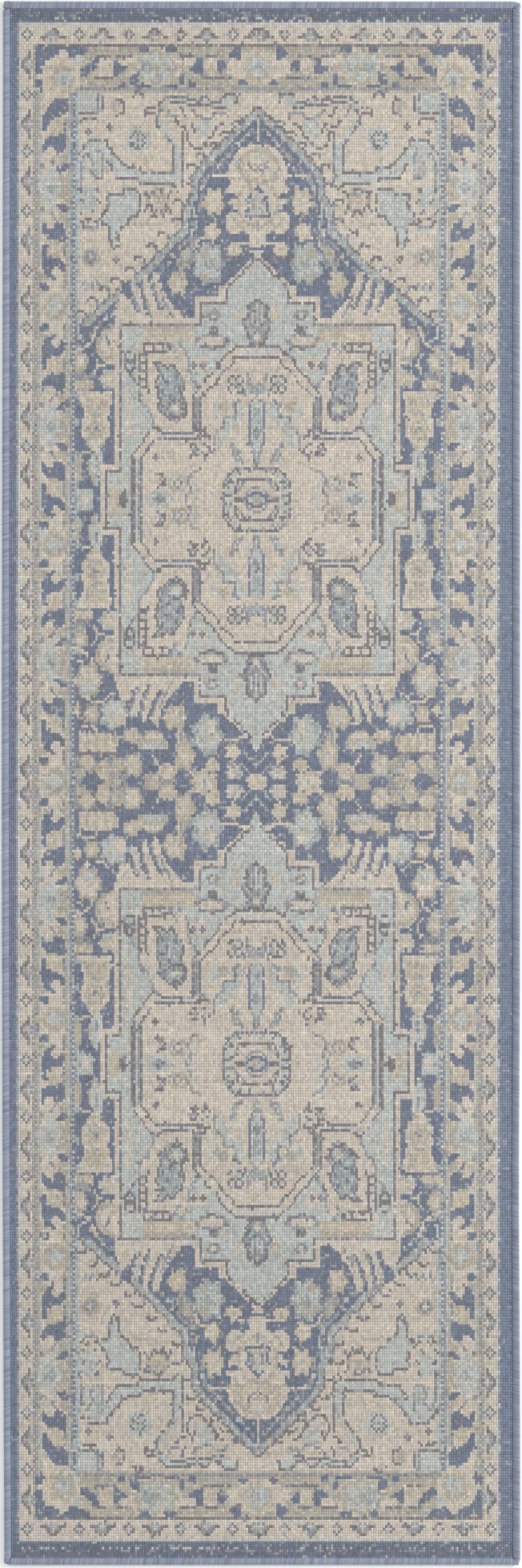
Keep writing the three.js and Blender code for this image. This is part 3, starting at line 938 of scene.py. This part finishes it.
# Rows of the plain ends that are flecked with a paler yarn. Negative rows count from the foot.
END_FLECKS = ((2, SLATE), (3, MIST), (4, MIST), (-4, MIST), (-3, SLATE), (-5, SLATE))
END_FLECK_SPAN = slice(4, -5)
END_FLECK_SHARE = 0.35
RIGHT_FLECK_COLUMN = -7
RIGHT_FLECK_SPAN = slice(6, -6)
RIGHT_FLECK_SHARE = 0.12
FLECK_STEP = 14             # knots over which the share of flecks comes and goes,
SHARE_MIDDLE = 0.5          # the middle that it comes and goes about,
SHARE_SWING = 0.6           # and by how much
JUTE = srgb(186, 170, 140)


def smooth_noise(count, step, random):
    """A line of random values, one every so many places, joined smoothly."""
    knots = random.normal(size=count // step + 3)
    return np.interp(np.arange(count) / step, np.arange(len(knots)), knots)


def fleck_pattern(pattern, random):
    """Knots tied a place out, mixed yarns, and short pale runs where the dark yarns wear thin."""
    worn = pattern.copy()
    for shift, axis in ((1, 0), (-1, 0), (1, 1), (-1, 1)):
        stray = random.random(pattern.shape) < STRAY_SHARE / 4
        stray[:CLEAN_ROWS] = False
        stray[-CLEAN_ROWS:] = False
        stray[:, :CLEAN_COLUMNS] = False
        stray[:, -CLEAN_COLUMNS:] = False
        worn[stray] = np.roll(pattern, shift, axis=axis)[stray]
    mixed = random.random(pattern.shape)
    for yarn, low, high, other in YARN_MIXES:
        worn[(pattern == yarn) & (mixed >= low) & (mixed < high)] = other
    for yarn, share, pale in THIN_RUNS:
        for row, column in np.argwhere((pattern == yarn) & (random.random(pattern.shape) < share)):
            run = slice(column, column + random.integers(1, 4))
            worn[row, run][pattern[row, run] == yarn] = pale
    for row, pale in END_FLECKS:
        band = worn[row, END_FLECK_SPAN]
        band[random.random(band.shape) < END_FLECK_SHARE * smooth_share(band.size, random)] = pale
    right = worn[RIGHT_FLECK_SPAN, RIGHT_FLECK_COLUMN]
    right[random.random(right.shape) < RIGHT_FLECK_SHARE] = MIST
    return worn


# yarn, from and to which share of its knots, the yarn that they are tied in instead
YARN_MIXES = (
    (AQUA, 0.00, 0.10, MIST),
    (AQUA, 0.10, 0.15, IVORY),
    (AQUA, 0.15, 0.20, TAUPE),
    (IVORY, 0.00, 0.03, SAND),
    (IVORY, 0.03, 0.05, MIST),
    (SAND, 0.00, 0.08, TAUPE),
    (SAND, 0.08, 0.20, IVORY),
    (TAUPE, 0.00, 0.16, SAND),
    (TAUPE, 0.16, 0.26, TEAL),
    (TEAL, 0.00, 0.16, SLATE),
    (TEAL, 0.16, 0.36, AQUA),
    (SLATE, 0.00, 0.10, PLUM),
    (SLATE, 0.10, 0.22, TAUPE),
    (PLUM, 0.00, 0.20, SLATE),
    (NAVY, 0.00, 0.05, PLUM),
    (NAVY, 0.05, 0.16, DENIM),
    (NAVY, 0.16, 0.20, SLATE),
    (NAVY, 0.20, 0.208, TAUPE),
)
THIN_RUNS = ((DENIM, 0.014, SLATE), (NAVY, 0.010, SLATE), (NAVY, 0.004, TAUPE))


def smooth_share(count, random):
    """A share between 0 and 1 that comes and goes along a row."""
    return np.clip(SHARE_MIDDLE + SHARE_SWING * smooth_noise(count, FLECK_STEP, random), 0.0, 1.0)


def shade_pattern(pattern, random):
    """The linear colour of every knot, with the small differences between knots, rows and columns."""
    rows, columns = pattern.shape
    yarn_colours = np.array([colour for _, colour in YARNS])
    colours = yarn_colours[pattern]
    light = 1.0 + KNOT_SPREAD * random.normal(size=(rows, columns))
    light += ROW_SPREAD * random.normal(size=(rows, 1))
    light += DRIFT_SPREAD * smooth_noise(rows, DRIFT_ROWS, random)[:, None]
    light += COLUMN_SPREAD * random.normal(size=(1, columns))
    # Painted shade on the end rows of the plain band.
    light[:END_ROWS] *= END_PAINTED_SHADE
    light[-END_ROWS:] *= END_PAINTED_SHADE
    warmth, green = TINT_SPREAD * random.normal(size=(2, rows, columns))
    tint = np.stack([1.0 + warmth, 1.0 + green, 1.0 - warmth], axis=2)
    return np.clip(colours * YARN_GAIN * np.clip(light, *LIGHT_RANGE)[..., None] * tint, 0.0, 1.0)


# ---------------------------------------------------------------------------
# Mesh helpers
# ---------------------------------------------------------------------------
def make_mesh(name, points, faces):
    """An object from arrays: points in metres, and faces that all have the same number of corners."""
    mesh = bpy.data.meshes.new(name)
    sides = faces.shape[1]
    mesh.vertices.add(len(points))
    mesh.vertices.foreach_set("co", np.ascontiguousarray(points, dtype=np.float32).ravel())
    mesh.loops.add(faces.size)
    mesh.loops.foreach_set("vertex_index", np.ascontiguousarray(faces, dtype=np.int32).ravel())
    mesh.polygons.add(len(faces))
    mesh.polygons.foreach_set("loop_start", np.arange(len(faces), dtype=np.int32) * sides)
    mesh.update(calc_edges=True)
    mesh.polygons.foreach_set("use_smooth", np.ones(len(faces), dtype=bool))
    piece = bpy.data.objects.new(name, mesh)
    bpy.context.scene.collection.objects.link(piece)
    return piece


def paint_corners(piece, colours):
    """Stores a linear colour for every face corner, which the material reads."""
    layer = piece.data.color_attributes.new("Yarn", "FLOAT_COLOR", "CORNER")
    full = np.ones((len(colours), 4), dtype=np.float32)
    full[:, :3] = colours
    layer.data.foreach_set("color", full.ravel())


UV_MARGIN = 0.004           # round each half of the bake layout, as a share of it
UV_SPARE = 0.01             # metres past the rug that the layout takes in


def lay_out_uv(piece, plan):
    """The bake layout: the head half and the foot half of the rug side by side in the square."""
    uv = piece.data.uv_layers.new(name="OFBake")
    foot_half = plan[:, 1] < 0
    across = (plan[:, 0] + HALF_WIDTH + UV_SPARE) / (2 * HALF_WIDTH + 2 * UV_SPARE)
    along = abs(plan[:, 1]) / (HALF_LENGTH + UV_SPARE)
    u = UV_MARGIN + across * (0.5 - 2 * UV_MARGIN) + 0.5 * foot_half
    v = UV_MARGIN + along * (1.0 - 2 * UV_MARGIN)
    uv.data.foreach_set("uv", np.stack([u, v], axis=1).astype(np.float32).ravel())


# ---------------------------------------------------------------------------
# Pile
# ---------------------------------------------------------------------------
GROOVE_JITTER = 0.10 * MM
CROWN_SHIFT = 0.06          # knots that a crown sits out of the middle of its knot
CROWN_DROP = 0.25 * MM      # the most that a crown is lower than the top of the pile
HALF_SPLIT = 1e-6           # keeps a face that touches the middle in its own half of the bake layout


def knot_points(rows, columns, random):
    """The corners of the knots, which lie in the grooves, and the crown of each knot."""
    edge_u = np.arange(columns + 1) - HALF_GRID
    u, v = np.meshgrid(edge_u, np.arange(rows + 1.0))
    corner_x, corner_y = knot_places(u, v, rows)
    low = PILE_HIGH[2] - KNOT_RISE
    corner_z = np.full(corner_x.shape, low) + GROOVE_JITTER * random.normal(size=corner_x.shape)
    corner = np.stack([corner_x, corner_y, corner_z], axis=2).reshape(-1, 3)
    centre_u, centre_v = np.meshgrid(edge_u[:-1] + 0.5, np.arange(rows) + 0.5)
    centre_u = centre_u + CROWN_SHIFT * random.normal(size=centre_u.shape)
    centre_v = centre_v + CROWN_SHIFT * random.normal(size=centre_v.shape)
    crown_x, crown_y = knot_places(centre_u, centre_v, rows)
    crown_z = PILE_HIGH[2] - CROWN_DROP * random.random(size=crown_x.shape)
    crown = np.stack([crown_x, crown_y, crown_z], axis=2).reshape(-1, 3)
    return corner, crown


def sharpen_grooves(piece, groove_points):
    """Marks the edges along the grooves sharp. The piece's first groove_points points lie in grooves."""
    ends = np.zeros(len(piece.data.edges) * 2, dtype=np.int32)
    piece.data.edges.foreach_get("vertices", ends)
    sharp = piece.data.attributes.new("sharp_edge", "BOOLEAN", "EDGE")
    sharp.data.foreach_set("value", (ends.reshape(-1, 2) < groove_points).all(axis=1))


def plan_by_half(points, faces):
    """Places in plan of the faces' corners. No face crosses between the halves of the bake layout."""
    plan = points[faces.ravel()].copy()
    foot = np.repeat(points[faces][:, :, 1].mean(axis=1) < 0, 3)
    in_foot = np.minimum(plan[:, 1], -HALF_SPLIT)
    in_head = np.maximum(plan[:, 1], HALF_SPLIT)
    plan[:, 1] = np.where(foot, in_foot, in_head)
    return plan


def build_pile(pattern, colours, random):
    """One piece for each yarn. Every knot is a dome of four triangles with a groove round it."""
    rows, columns = pattern.shape
    corner, crown = knot_points(rows, columns, random)
    pieces = []
    for number, (yarn, _) in enumerate(YARNS):
        row, column = np.nonzero(pattern == number)
        if not len(row):
            continue
        first = row * (columns + 1) + column
        ring = np.stack([first, first + columns + 1, first + columns + 2, first + 1], axis=1)
        used, ring = np.unique(ring, return_inverse=True)
        ring = ring.reshape(-1, 4)
        knot = row * columns + column
        points = np.vstack([corner[used], crown[knot]])
        top = len(used) + np.arange(len(knot))
        sides = [np.stack([ring[:, i], ring[:, (i + 1) % 4], top], axis=1) for i in range(4)]
        faces = np.stack(sides, axis=1).reshape(-1, 3)
        piece = make_mesh("pile_" + yarn, lay_down(points), faces)
        sharpen_grooves(piece, len(used))
        # Painted shade in the grooves and a painted highlight on every crown: groove corners take the darker
        # share, crowns the lighter one.
        shade = np.tile([PAINTED_GROOVE_SHADE, PAINTED_GROOVE_SHADE, PAINTED_CROWN_HIGHLIGHT], len(faces))
        knot_colours = np.repeat(colours.reshape(-1, 3)[knot], 12, axis=0)
        paint_corners(piece, np.clip(knot_colours * shade[:, None], 0.0, 1.0))
        lay_out_uv(piece, plan_by_half(points, faces))
        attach(piece, "root")
        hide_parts("pile_face")
        pieces.append(piece)
    return pieces


# ---------------------------------------------------------------------------
# Ground and back
# ---------------------------------------------------------------------------
CLOTH_COLUMNS = 107
CLOTH_ROWS = 284
WEAVE_RELIEF = 0.16 * MM
JUTE_SPREAD = 0.06          # how much one cell's lightness differs from the next one's
GROUND_GHOST = 0.15         # share of the pile's yarns that shows through the ground,
BACK_GHOST = 0.40           # and through the back


def build_cloth(name, low, high, relief_top, relief_bottom, colours):
    """A closed woven slab: over and under in turn on its faces, plain at its cut edge."""
    x = np.linspace(low[0], high[0], CLOTH_COLUMNS + 1)
    y = np.linspace(high[1], low[1], CLOTH_ROWS + 1)
    px, py = np.meshgrid(x, y)
    parity = 1.0 - 2.0 * (np.add.outer(np.arange(CLOTH_ROWS + 1), np.arange(CLOTH_COLUMNS + 1)) % 2)
    parity[[0, -1]] = 0.0
    parity[:, [0, -1]] = 0.0
    top = np.stack([px, py, high[2] - relief_top * (1.0 - parity)], axis=2).reshape(-1, 3)
    bottom = np.stack([px, py, low[2] + relief_bottom * (1.0 - parity)], axis=2).reshape(-1, 3)
    grid = np.arange((CLOTH_ROWS + 1) * (CLOTH_COLUMNS + 1)).reshape(CLOTH_ROWS + 1, CLOTH_COLUMNS + 1)
    a, b, c, d = grid[:-1, :-1], grid[1:, :-1], grid[1:, 1:], grid[:-1, 1:]
    upper = np.stack([a, b, c, d], axis=2).reshape(-1, 4)
    lower = upper[:, ::-1] + grid.size
    rim = np.concatenate([grid[0, :-1], grid[:-1, -1], grid[-1, :0:-1], grid[:0:-1, 0]])
    after = np.roll(rim, -1)
    wall = np.stack([rim, after, after + grid.size, rim + grid.size], axis=1)
    faces = np.vstack([upper, lower, wall])
    points = np.vstack([top, bottom])
    piece = make_mesh(name, lay_down(points), faces)
    cell = np.concatenate([np.repeat(colours, 4, axis=0), np.repeat(colours, 4, axis=0),
                           np.tile(JUTE, (len(wall) * 4, 1))])
    paint_corners(piece, cell)
    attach(piece, "root")
    return piece


def cloth_colours(pattern, share, random):
    """Jute with a ghost of the pile yarns, for the cells of a cloth."""
    rows, columns = pattern.shape
    row = (np.arange(CLOTH_ROWS) + 0.5) * rows / CLOTH_ROWS
    column = (np.arange(CLOTH_COLUMNS) + 0.5) * columns / CLOTH_COLUMNS
    seen = pattern[np.ix_(row.astype(int), column.astype(int))]
    yarn = np.array([colour for _, colour in YARNS])[seen]
    jute = JUTE * (1.0 + JUTE_SPREAD * random.normal(size=yarn.shape[:2] + (1,)))
    return np.clip(jute * (1.0 - share) + yarn * share, 0.0, 1.0).reshape(-1, 3)


# ---------------------------------------------------------------------------
# Serged edges and their cords
# ---------------------------------------------------------------------------
STITCH = 1.4 * MM
YARN_THICKNESS = 1.1 * MM
STITCH_RELIEF = 0.38 * MM
TOP_POINTS = 4
ROUND_POINTS = 6
INNER_POINTS = 4
SIDE_GAP = 0.3 * MM
CORNER_RADIUS = 2.6 * MM
CORNER_RUN = 1.9            # length of the stitches' path round a corner, in edge bands
LIP_SINK = 1.3 * MM         # how far the lip sinks below the top of the wrap
LIP_FLATTEN = 0.04          # share of its height that the wrap loses at the lip
SWELL_SPREAD = 0.25         # how much fatter one stitch is than the next one
END_FRAY = 1.6 * MM         # the most that the lip's stitches stray onto the pile, at the ends
SIDE_FRAY = 0.7 * MM        # and at the sides
END_SLIDE = 1.6 * MM        # how far the middle of a stitch is pushed along the edge
SIDE_SLIDE = 2.2 * MM
# Each edge's lightness is partly painted light and shade, the left edge painted lighter and the right one
# darker as the light falls across the rug, and partly the edges' own tone.
END_RUNS = (("serging_head_end", 1, 1.0), ("serging_foot_end", -1, 1.04))    # node, side, lightness
SIDE_RUNS = (("serging_left", -1, 1.08), ("serging_right", 1, 0.82))
SERGING = srgb(130, 138, 158)
SERGING_DARK = srgb(104, 113, 136)
SERGING_LIGHT = srgb(160, 168, 184)
TONE_MIDDLE = 0.5           # a stitch's own tone between the dark and the light yarn,
TONE_SPREAD = 0.28
OWN_SHARE = 0.6             # how much of its colour that tone makes up,
MEAN_SHARE = 0.4            # and how much comes from the serging's mean colour
# Painted highlight on each stitch's crown ring and painted shade in the groove ring before it, as shares of
# its colour.
STITCH_PAINTED_HIGHLIGHT = 1.12
STITCH_PAINTED_SHADE = 0.62


def edge_profile():
    """Section of the serging, from the lip on the pile over the edge to the lip underneath.

    Gives the reach, the height and the way round the wrap of its outside, and then the reach and the
    height of its inside.
    """
    radius = EDGE_HEIGHT / 2
    flat = EDGE_BAND - radius
    across = np.linspace(EDGE_BAND - HALF_WIDTH + LIP, flat, TOP_POINTS, endpoint=False)
    turn = np.linspace(np.pi / 2, -np.pi / 2, ROUND_POINTS + 1)
    reach = np.concatenate([across, flat + radius * np.cos(turn), across[::-1]])
    level = np.full(TOP_POINTS, radius)
    height = np.concatenate([level, radius * np.sin(turn), -level])
    wrap = np.linspace(0.0, 1.0, len(reach))
    inner_radius = radius - YARN_THICKNESS
    inner_turn = np.linspace(-np.pi / 2, np.pi / 2, INNER_POINTS)
    inner_reach = np.concatenate([[0.0], flat + inner_radius * np.cos(inner_turn), [0.0]])
    inner_height = np.concatenate([[-inner_radius], inner_radius * np.sin(inner_turn), [inner_radius]])
    return reach, height, wrap, inner_reach, inner_height


def serging_loop(inner, outward, reach_scale, fray, shift_along, random):
    """Points of a wrap, ring by ring, each ring with its outside first and then its inside.

    Two rings make a stitch: the groove before it and its crown.
    """
    reach, height, wrap, inner_reach, inner_height = edge_profile()
    rings = len(inner)
    crown = np.arange(rings) % 2
    loose = np.repeat(random.random(rings // 2), 2)
    swell = np.repeat(1.0 + SWELL_SPREAD * random.normal(size=rings // 2), 2)
    relief = (crown * swell - 0.5) * STITCH_RELIEF
    radius = EDGE_HEIGHT / 2
    flat = EDGE_BAND - radius
    normal_reach = np.where(reach > flat, (reach - flat) / radius, 0.0)
    normal_height = np.sign(height) * np.sqrt(np.clip(1.0 - normal_reach ** 2, 0.0, 1.0))
    lip = np.clip(1.0 - reach / flat, 0.0, 1.0) ** 2
    out = reach[None, :] * reach_scale[:, None] + relief[:, None] * normal_reach[None, :]
    out -= (fray * loose)[:, None] * lip[None, :]
    up = radius + height[None, :] * (1.0 - LIP_FLATTEN * lip[None, :])
    up = up + relief[:, None] * normal_height[None, :]
    up -= np.where(height > 0, 1, -1)[None, :] * LIP_SINK * lip[None, :]
    up = np.maximum(up, 0.0)
    slide = shift_along[:, None, :] * (0.5 - abs(wrap - 0.5))[None, :, None] * 2.0
    outside = inner[:, None, :] + outward[:, None, :] * out[..., None] + slide
    inside_out = inner_reach[None, :] * reach_scale[:, None]
    inside = inner[:, None, :] + outward[:, None, :] * inside_out[..., None]
    inside_up = np.tile(radius + inner_height, (rings, 1))
    plan = np.concatenate([outside, inside], axis=1)
    rise = np.concatenate([up, inside_up], axis=1)
    return np.concatenate([plan, rise[..., None]], axis=2)


def serging_faces(rings, sides):
    """Faces along a wrap, and a cap at each end of it."""
    index = np.arange(rings * sides).reshape(rings, sides)
    following = np.roll(index, -1, axis=1)
    faces = np.stack([index[:-1], following[:-1], following[1:], index[1:]], axis=2).reshape(-1, 4)
    start_cap = [[index[0, i], index[0, sides - 1 - i], index[0, sides - 2 - i], index[0, i + 1]]
                 for i in range(sides // 2 - 1)]
    end_cap = [[index[-1, i], index[-1, i + 1], index[-1, sides - 2 - i], index[-1, sides - 1 - i]]
               for i in range(sides // 2 - 1)]
    return np.vstack([faces, start_cap, end_cap])


def ring_colours(stitches, shade, random):
    """A colour for each ring. A stitch has its own tone, with painted shade in its groove and a painted
    highlight on its crown.
    """
    tone = np.clip(TONE_MIDDLE + TONE_SPREAD * random.normal(size=stitches), 0.0, 1.0)[:, None]
    own = (SERGING_LIGHT - SERGING_DARK) * tone * OWN_SHARE
    colour = SERGING_DARK + own + (SERGING - SERGING_DARK) * MEAN_SHARE
    crown = np.arange(2 * stitches) % 2
    return shade * np.repeat(colour, 2, axis=0) * np.where(crown, STITCH_PAINTED_HIGHLIGHT, STITCH_PAINTED_SHADE)[:, None]


def build_serging(name, path, fray, shift_along, shade, random):
    """Sweeps the stitches of one edge along its path."""
    loop = serging_loop(*path, fray, shift_along, random)
    rings, sides = loop.shape[:2]
    faces = serging_faces(rings, sides)
    piece = make_mesh(name.replace("serging", "serged"), lay_down(loop.reshape(-1, 3)), faces)
    colours = ring_colours(rings // 2, shade, random)
    paint_corners(piece, np.clip(colours[faces.ravel() // sides], 0.0, 1.0))
    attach(piece, "root")
    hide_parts(name)
    return piece


def side_path(sign):
    """Rings of a side's serging, from the head end to the foot end."""
    reach_along = HALF_LENGTH - EDGE_BAND - SIDE_GAP
    rings = 2 * int(2 * reach_along / STITCH)
    y = np.linspace(reach_along, -reach_along, rings)
    inner = np.stack([np.full(rings, sign * (HALF_WIDTH - EDGE_BAND)), y], axis=1)
    outward = np.tile([float(sign), 0.0], (rings, 1))
    return inner, outward, np.ones(rings)


def end_path(sign):
    """Rings of an end's serging, round one corner, along the end and round the other corner."""
    inner_x = HALF_WIDTH - EDGE_BAND
    inner_y = HALF_LENGTH - EDGE_BAND
    corner_rings = 2 * int(CORNER_RUN * EDGE_BAND / STITCH)
    straight_rings = 2 * int(2 * inner_x / STITCH)
    angle = np.linspace(0.0, np.pi / 2, corner_rings, endpoint=False)
    left = np.stack([-np.cos(angle), np.sin(angle)], axis=1)
    next_angle = angle + 0.5 * np.pi / corner_rings
    right = np.stack([np.sin(next_angle), np.cos(next_angle)], axis=1)
    middle_x = np.linspace(-inner_x, inner_x, straight_rings)
    inner = np.concatenate([
        np.tile([-inner_x, inner_y], (corner_rings, 1)),
        np.stack([middle_x, np.full(straight_rings, inner_y)], axis=1),
        np.tile([inner_x, inner_y], (corner_rings, 1)),
    ])
    outward = np.concatenate([left, np.tile([0.0, 1.0], (straight_rings, 1)), right])
    square = 1.0 / np.maximum(abs(outward[:, 0]), abs(outward[:, 1]))
    round_off = (np.sqrt(2.0) - 1.0) * CORNER_RADIUS / EDGE_BAND
    scale = square - round_off * (np.clip(square - 1.0, 0.0, 1.0) / (np.sqrt(2.0) - 1.0))
    inner[:, 1] *= sign
    outward[:, 1] *= sign
    return inner, outward, scale


CORD_SIDES = 12
CORD_STEP = 3.0 * MM
CORD_LAY = 16 * MM          # length of one turn of the plies
PLIES = 3
PLY_MEAN = 0.88             # the cord's outline, in shares of its radius
PLY_SWING = 0.12
# Painted shade between the plies: the cord's colour is painted darker where its outline dips between plies
# and lighter where the plies swell.
PLY_SHADE_BASE = 0.7             # lightness of the cord: the part that it has anywhere,
PLY_PAINTED_LIGHT = 0.3            # and the part that grows with the outline
COTTON = srgb(206, 196, 176)


def cord_faces(steps, axis):
    """Faces round a cord, and a cap at each end of it."""
    index = np.arange((steps + 1) * CORD_SIDES).reshape(steps + 1, CORD_SIDES)
    following = np.roll(index, -1, axis=1)
    faces = np.stack([index[:-1], index[1:], following[1:], following[:-1]], axis=2).reshape(-1, 4)
    half = CORD_SIDES // 2
    caps = [[ring[i], ring[CORD_SIDES - 1 - i], ring[CORD_SIDES - 2 - i], ring[i + 1]]
            for ring in (index[0], index[-1, ::-1]) for i in range(half - 1)]
    faces = np.vstack([faces, np.array(caps)[:, ::-1]])
    return faces[:, ::-1] if axis == 1 else faces


def build_cord(name):
    """A three-ply twisted cord in the space of its plain solid."""
    low, high = (np.array(corner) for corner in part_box(name))
    middle = (low + high) / 2
    size = high - low
    axis = int(size.argmax())
    across = 1 - axis
    radius = size[2] / 2
    steps = int(size[axis] / CORD_STEP)
    along = np.linspace(low[axis], high[axis], steps + 1)
    angle = np.arange(CORD_SIDES) * 2 * np.pi / CORD_SIDES
    twist = 2 * np.pi * along / CORD_LAY
    ply = radius * (PLY_MEAN + PLY_SWING * np.cos(PLIES * (angle[None, :] - twist[:, None])))
    points = np.empty((steps + 1, CORD_SIDES, 3))
    points[..., axis] = along[:, None]
    points[..., across] = middle[across] + ply * np.cos(angle)
    points[..., 2] = middle[2] + ply * np.sin(angle)
    faces = cord_faces(steps, axis)
    piece = make_mesh(name.replace("edge", "twisted"), lay_down(points.reshape(-1, 3)), faces)
    # Painted shade in the valleys between the plies, lighter on the plies themselves.
    shade = PLY_SHADE_BASE + PLY_PAINTED_LIGHT * (ply / radius).reshape(-1, 1)
    paint_corners(piece, (COTTON * shade)[faces.ravel()])
    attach(piece, "root")
    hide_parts(name)
    return piece


# ---------------------------------------------------------------------------
# Materials
# ---------------------------------------------------------------------------
ROUGHNESS_SPREAD = 0.08
FIBRE_RELIEF = 0.4 * MM


def yarn_material(name, roughness, sheen, fibre_scale, fibre_bump):
    """Matt yarn: the stored colour, broken up by fine fibres in colour, roughness and relief."""
    material = bpy.data.materials.new(name)
    material.use_nodes = True
    nodes, links = material.node_tree.nodes, material.node_tree.links
    shader = nodes["Principled BSDF"]
    shader.inputs["Sheen Weight"].default_value = sheen
    shader.inputs["Sheen Roughness"].default_value = 0.6
    shader.inputs["Specular IOR Level"].default_value = 0.15
    colour = nodes.new("ShaderNodeAttribute")
    colour.attribute_name = "Yarn"
    place = nodes.new("ShaderNodeTexCoord")
    fibre = nodes.new("ShaderNodeTexNoise")
    fibre.inputs["Scale"].default_value = fibre_scale
    fibre.inputs["Detail"].default_value = 4.0
    fibre.inputs["Roughness"].default_value = 0.65
    links.new(place.outputs["Object"], fibre.inputs["Vector"])
    spread = nodes.new("ShaderNodeMapRange")
    spread.inputs["From Min"].default_value = 0.3
    spread.inputs["From Max"].default_value = 0.7
    spread.inputs["To Min"].default_value = 0.86
    spread.inputs["To Max"].default_value = 1.14
    links.new(fibre.outputs["Fac"], spread.inputs["Value"])
    shaded = nodes.new("ShaderNodeVectorMath")
    shaded.operation = "SCALE"
    links.new(colour.outputs["Color"], shaded.inputs[0])
    links.new(spread.outputs["Result"], shaded.inputs["Scale"])
    links.new(shaded.outputs["Vector"], shader.inputs["Base Color"])
    rough = nodes.new("ShaderNodeMapRange")
    rough.inputs["To Min"].default_value = roughness - ROUGHNESS_SPREAD
    rough.inputs["To Max"].default_value = min(roughness + ROUGHNESS_SPREAD, 1.0)
    links.new(fibre.outputs["Fac"], rough.inputs["Value"])
    links.new(rough.outputs["Result"], shader.inputs["Roughness"])
    bump = nodes.new("ShaderNodeBump")
    bump.inputs["Strength"].default_value = fibre_bump
    bump.inputs["Distance"].default_value = FIBRE_RELIEF
    links.new(fibre.outputs["Fac"], bump.inputs["Height"])
    links.new(bump.outputs["Normal"], shader.inputs["Normal"])
    return material


def floor_material():
    """The plain pale floor that the rug lies on."""
    material = bpy.data.materials.new("floor")
    material.use_nodes = True
    shader = material.node_tree.nodes["Principled BSDF"]
    shader.inputs["Base Color"].default_value = (0.93, 0.93, 0.93, 1.0)
    shader.inputs["Roughness"].default_value = 0.9
    shader.inputs["Specular IOR Level"].default_value = 0.1
    return material


# ---------------------------------------------------------------------------
# Building the rug
# ---------------------------------------------------------------------------
random = np.random.default_rng(SEED)
pattern = fleck_pattern(draw_pattern(), random)
colours = shade_pattern(pattern, random)
pile_pieces = build_pile(pattern, colours, random)

pile_yarn = yarn_material("pile yarn", roughness=0.9, sheen=0.15, fibre_scale=1400.0, fibre_bump=0.5)
for piece in pile_pieces:
    piece.data.materials.append(pile_yarn)

ground = build_cloth("ground_cloth", GROUND_LOW, GROUND_HIGH, WEAVE_RELIEF, 0.0,
                     cloth_colours(pattern, GROUND_GHOST, random))
ground_jute = yarn_material("ground jute", roughness=0.95, sheen=0.05, fibre_scale=1100.0, fibre_bump=0.6)
ground.data.materials.append(ground_jute)
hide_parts("ground_weave")

back = build_cloth("sized_back", SIZING_LOW, SIZING_HIGH, 0.0, WEAVE_RELIEF,
                   cloth_colours(pattern, BACK_GHOST, random))
sized_jute = yarn_material("sized jute", roughness=0.75, sheen=0.0, fibre_scale=700.0, fibre_bump=0.5)
back.data.materials.append(sized_jute)
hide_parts("back_sizing")

serging_yarn = yarn_material("serging yarn", roughness=0.8, sheen=0.3, fibre_scale=2200.0, fibre_bump=0.5)
cord_yarn = yarn_material("cord cotton", roughness=0.95, sheen=0.05, fibre_scale=1500.0, fibre_bump=0.4)
edge_pieces = []
for name, sign, shade in END_RUNS:
    inner, outward, scale = end_path(sign)
    slide = END_SLIDE * np.stack([outward[:, 1], -outward[:, 0]], axis=1)
    edge_pieces.append(build_serging(name, (inner, outward, scale), END_FRAY, slide, shade, random))
for name, sign, shade in SIDE_RUNS:
    inner, outward, scale = side_path(sign)
    slide = np.tile([0.0, -SIDE_SLIDE], (len(inner), 1))
    edge_pieces.append(build_serging(name, (inner, outward, scale), SIDE_FRAY, slide, shade, random))
for piece in edge_pieces:
    piece.data.materials.append(serging_yarn)
cords = [build_cord(name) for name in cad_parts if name.startswith("edge_cord")]
for piece in cords:
    piece.data.materials.append(cord_yarn)

# ---------------------------------------------------------------------------
# Floor, light and camera
# ---------------------------------------------------------------------------
FLOOR_HALF = 60.0           # metres
LENS = 120.0                # millimetres, as the camera takes them
SENSOR = 36.0
VIEW_LENGTH = 1.00265 * 2 * HALF_LENGTH    # what the picture's height takes in
VIEW_SHIFT = (0.2 * MM, -0.9 * MM)
FLOOR_DROP = 0.0002         # metres from the rug's underside down to the floor
WORLD_STRENGTH = 0.85
WHITE = (1.0, 1.0, 1.0, 1.0)

# name, place and size in metres, power in watts
SOFTBOXES = (
    ("softbox_left", (-2.6, 1.0, 3.4), 2.4, 20.0),
    ("softbox_right", (3.2, 0.6, 2.0), 2.0, 120.0),
)

bpy.ops.mesh.primitive_plane_add(size=2 * FLOOR_HALF, location=(0, 0, -FLOOR_DROP))
floor = bpy.context.object
floor.name = "floor"
floor.data.materials.append(floor_material())


def add_softbox(name, location, size, power):
    """A square area light that faces the middle of the rug."""
    light = bpy.data.lights.new(name, "AREA")
    light.shape = "SQUARE"
    light.size = size
    light.energy = power
    lamp = bpy.data.objects.new(name, light)
    lamp.location = location
    direction = -lamp.location.normalized()
    lamp.rotation_euler = direction.to_track_quat("-Z", "Y").to_euler()
    bpy.context.scene.collection.objects.link(lamp)


for name, place, size, power in SOFTBOXES:
    add_softbox(name, place, size, power)

world = bpy.data.worlds.new("studio")
world.use_nodes = True
world.node_tree.nodes["Background"].inputs["Color"].default_value = WHITE
world.node_tree.nodes["Background"].inputs["Strength"].default_value = WORLD_STRENGTH
bpy.context.scene.world = world
bpy.context.scene.view_settings.view_transform = "Standard"

lens = bpy.data.cameras.new("camera")
lens.lens = LENS
lens.sensor_width = SENSOR
lens.clip_end = 100.0
camera = bpy.data.objects.new("camera", lens)
bpy.context.scene.collection.objects.link(camera)
distance = VIEW_LENGTH / 2 / (SENSOR / 2 / LENS)
camera.location = (VIEW_SHIFT[0], VIEW_SHIFT[1], PILE_HIGH[2] + distance)
camera.rotation_euler = (0.0, 0.0, 0.0)
bpy.context.scene.camera = camera
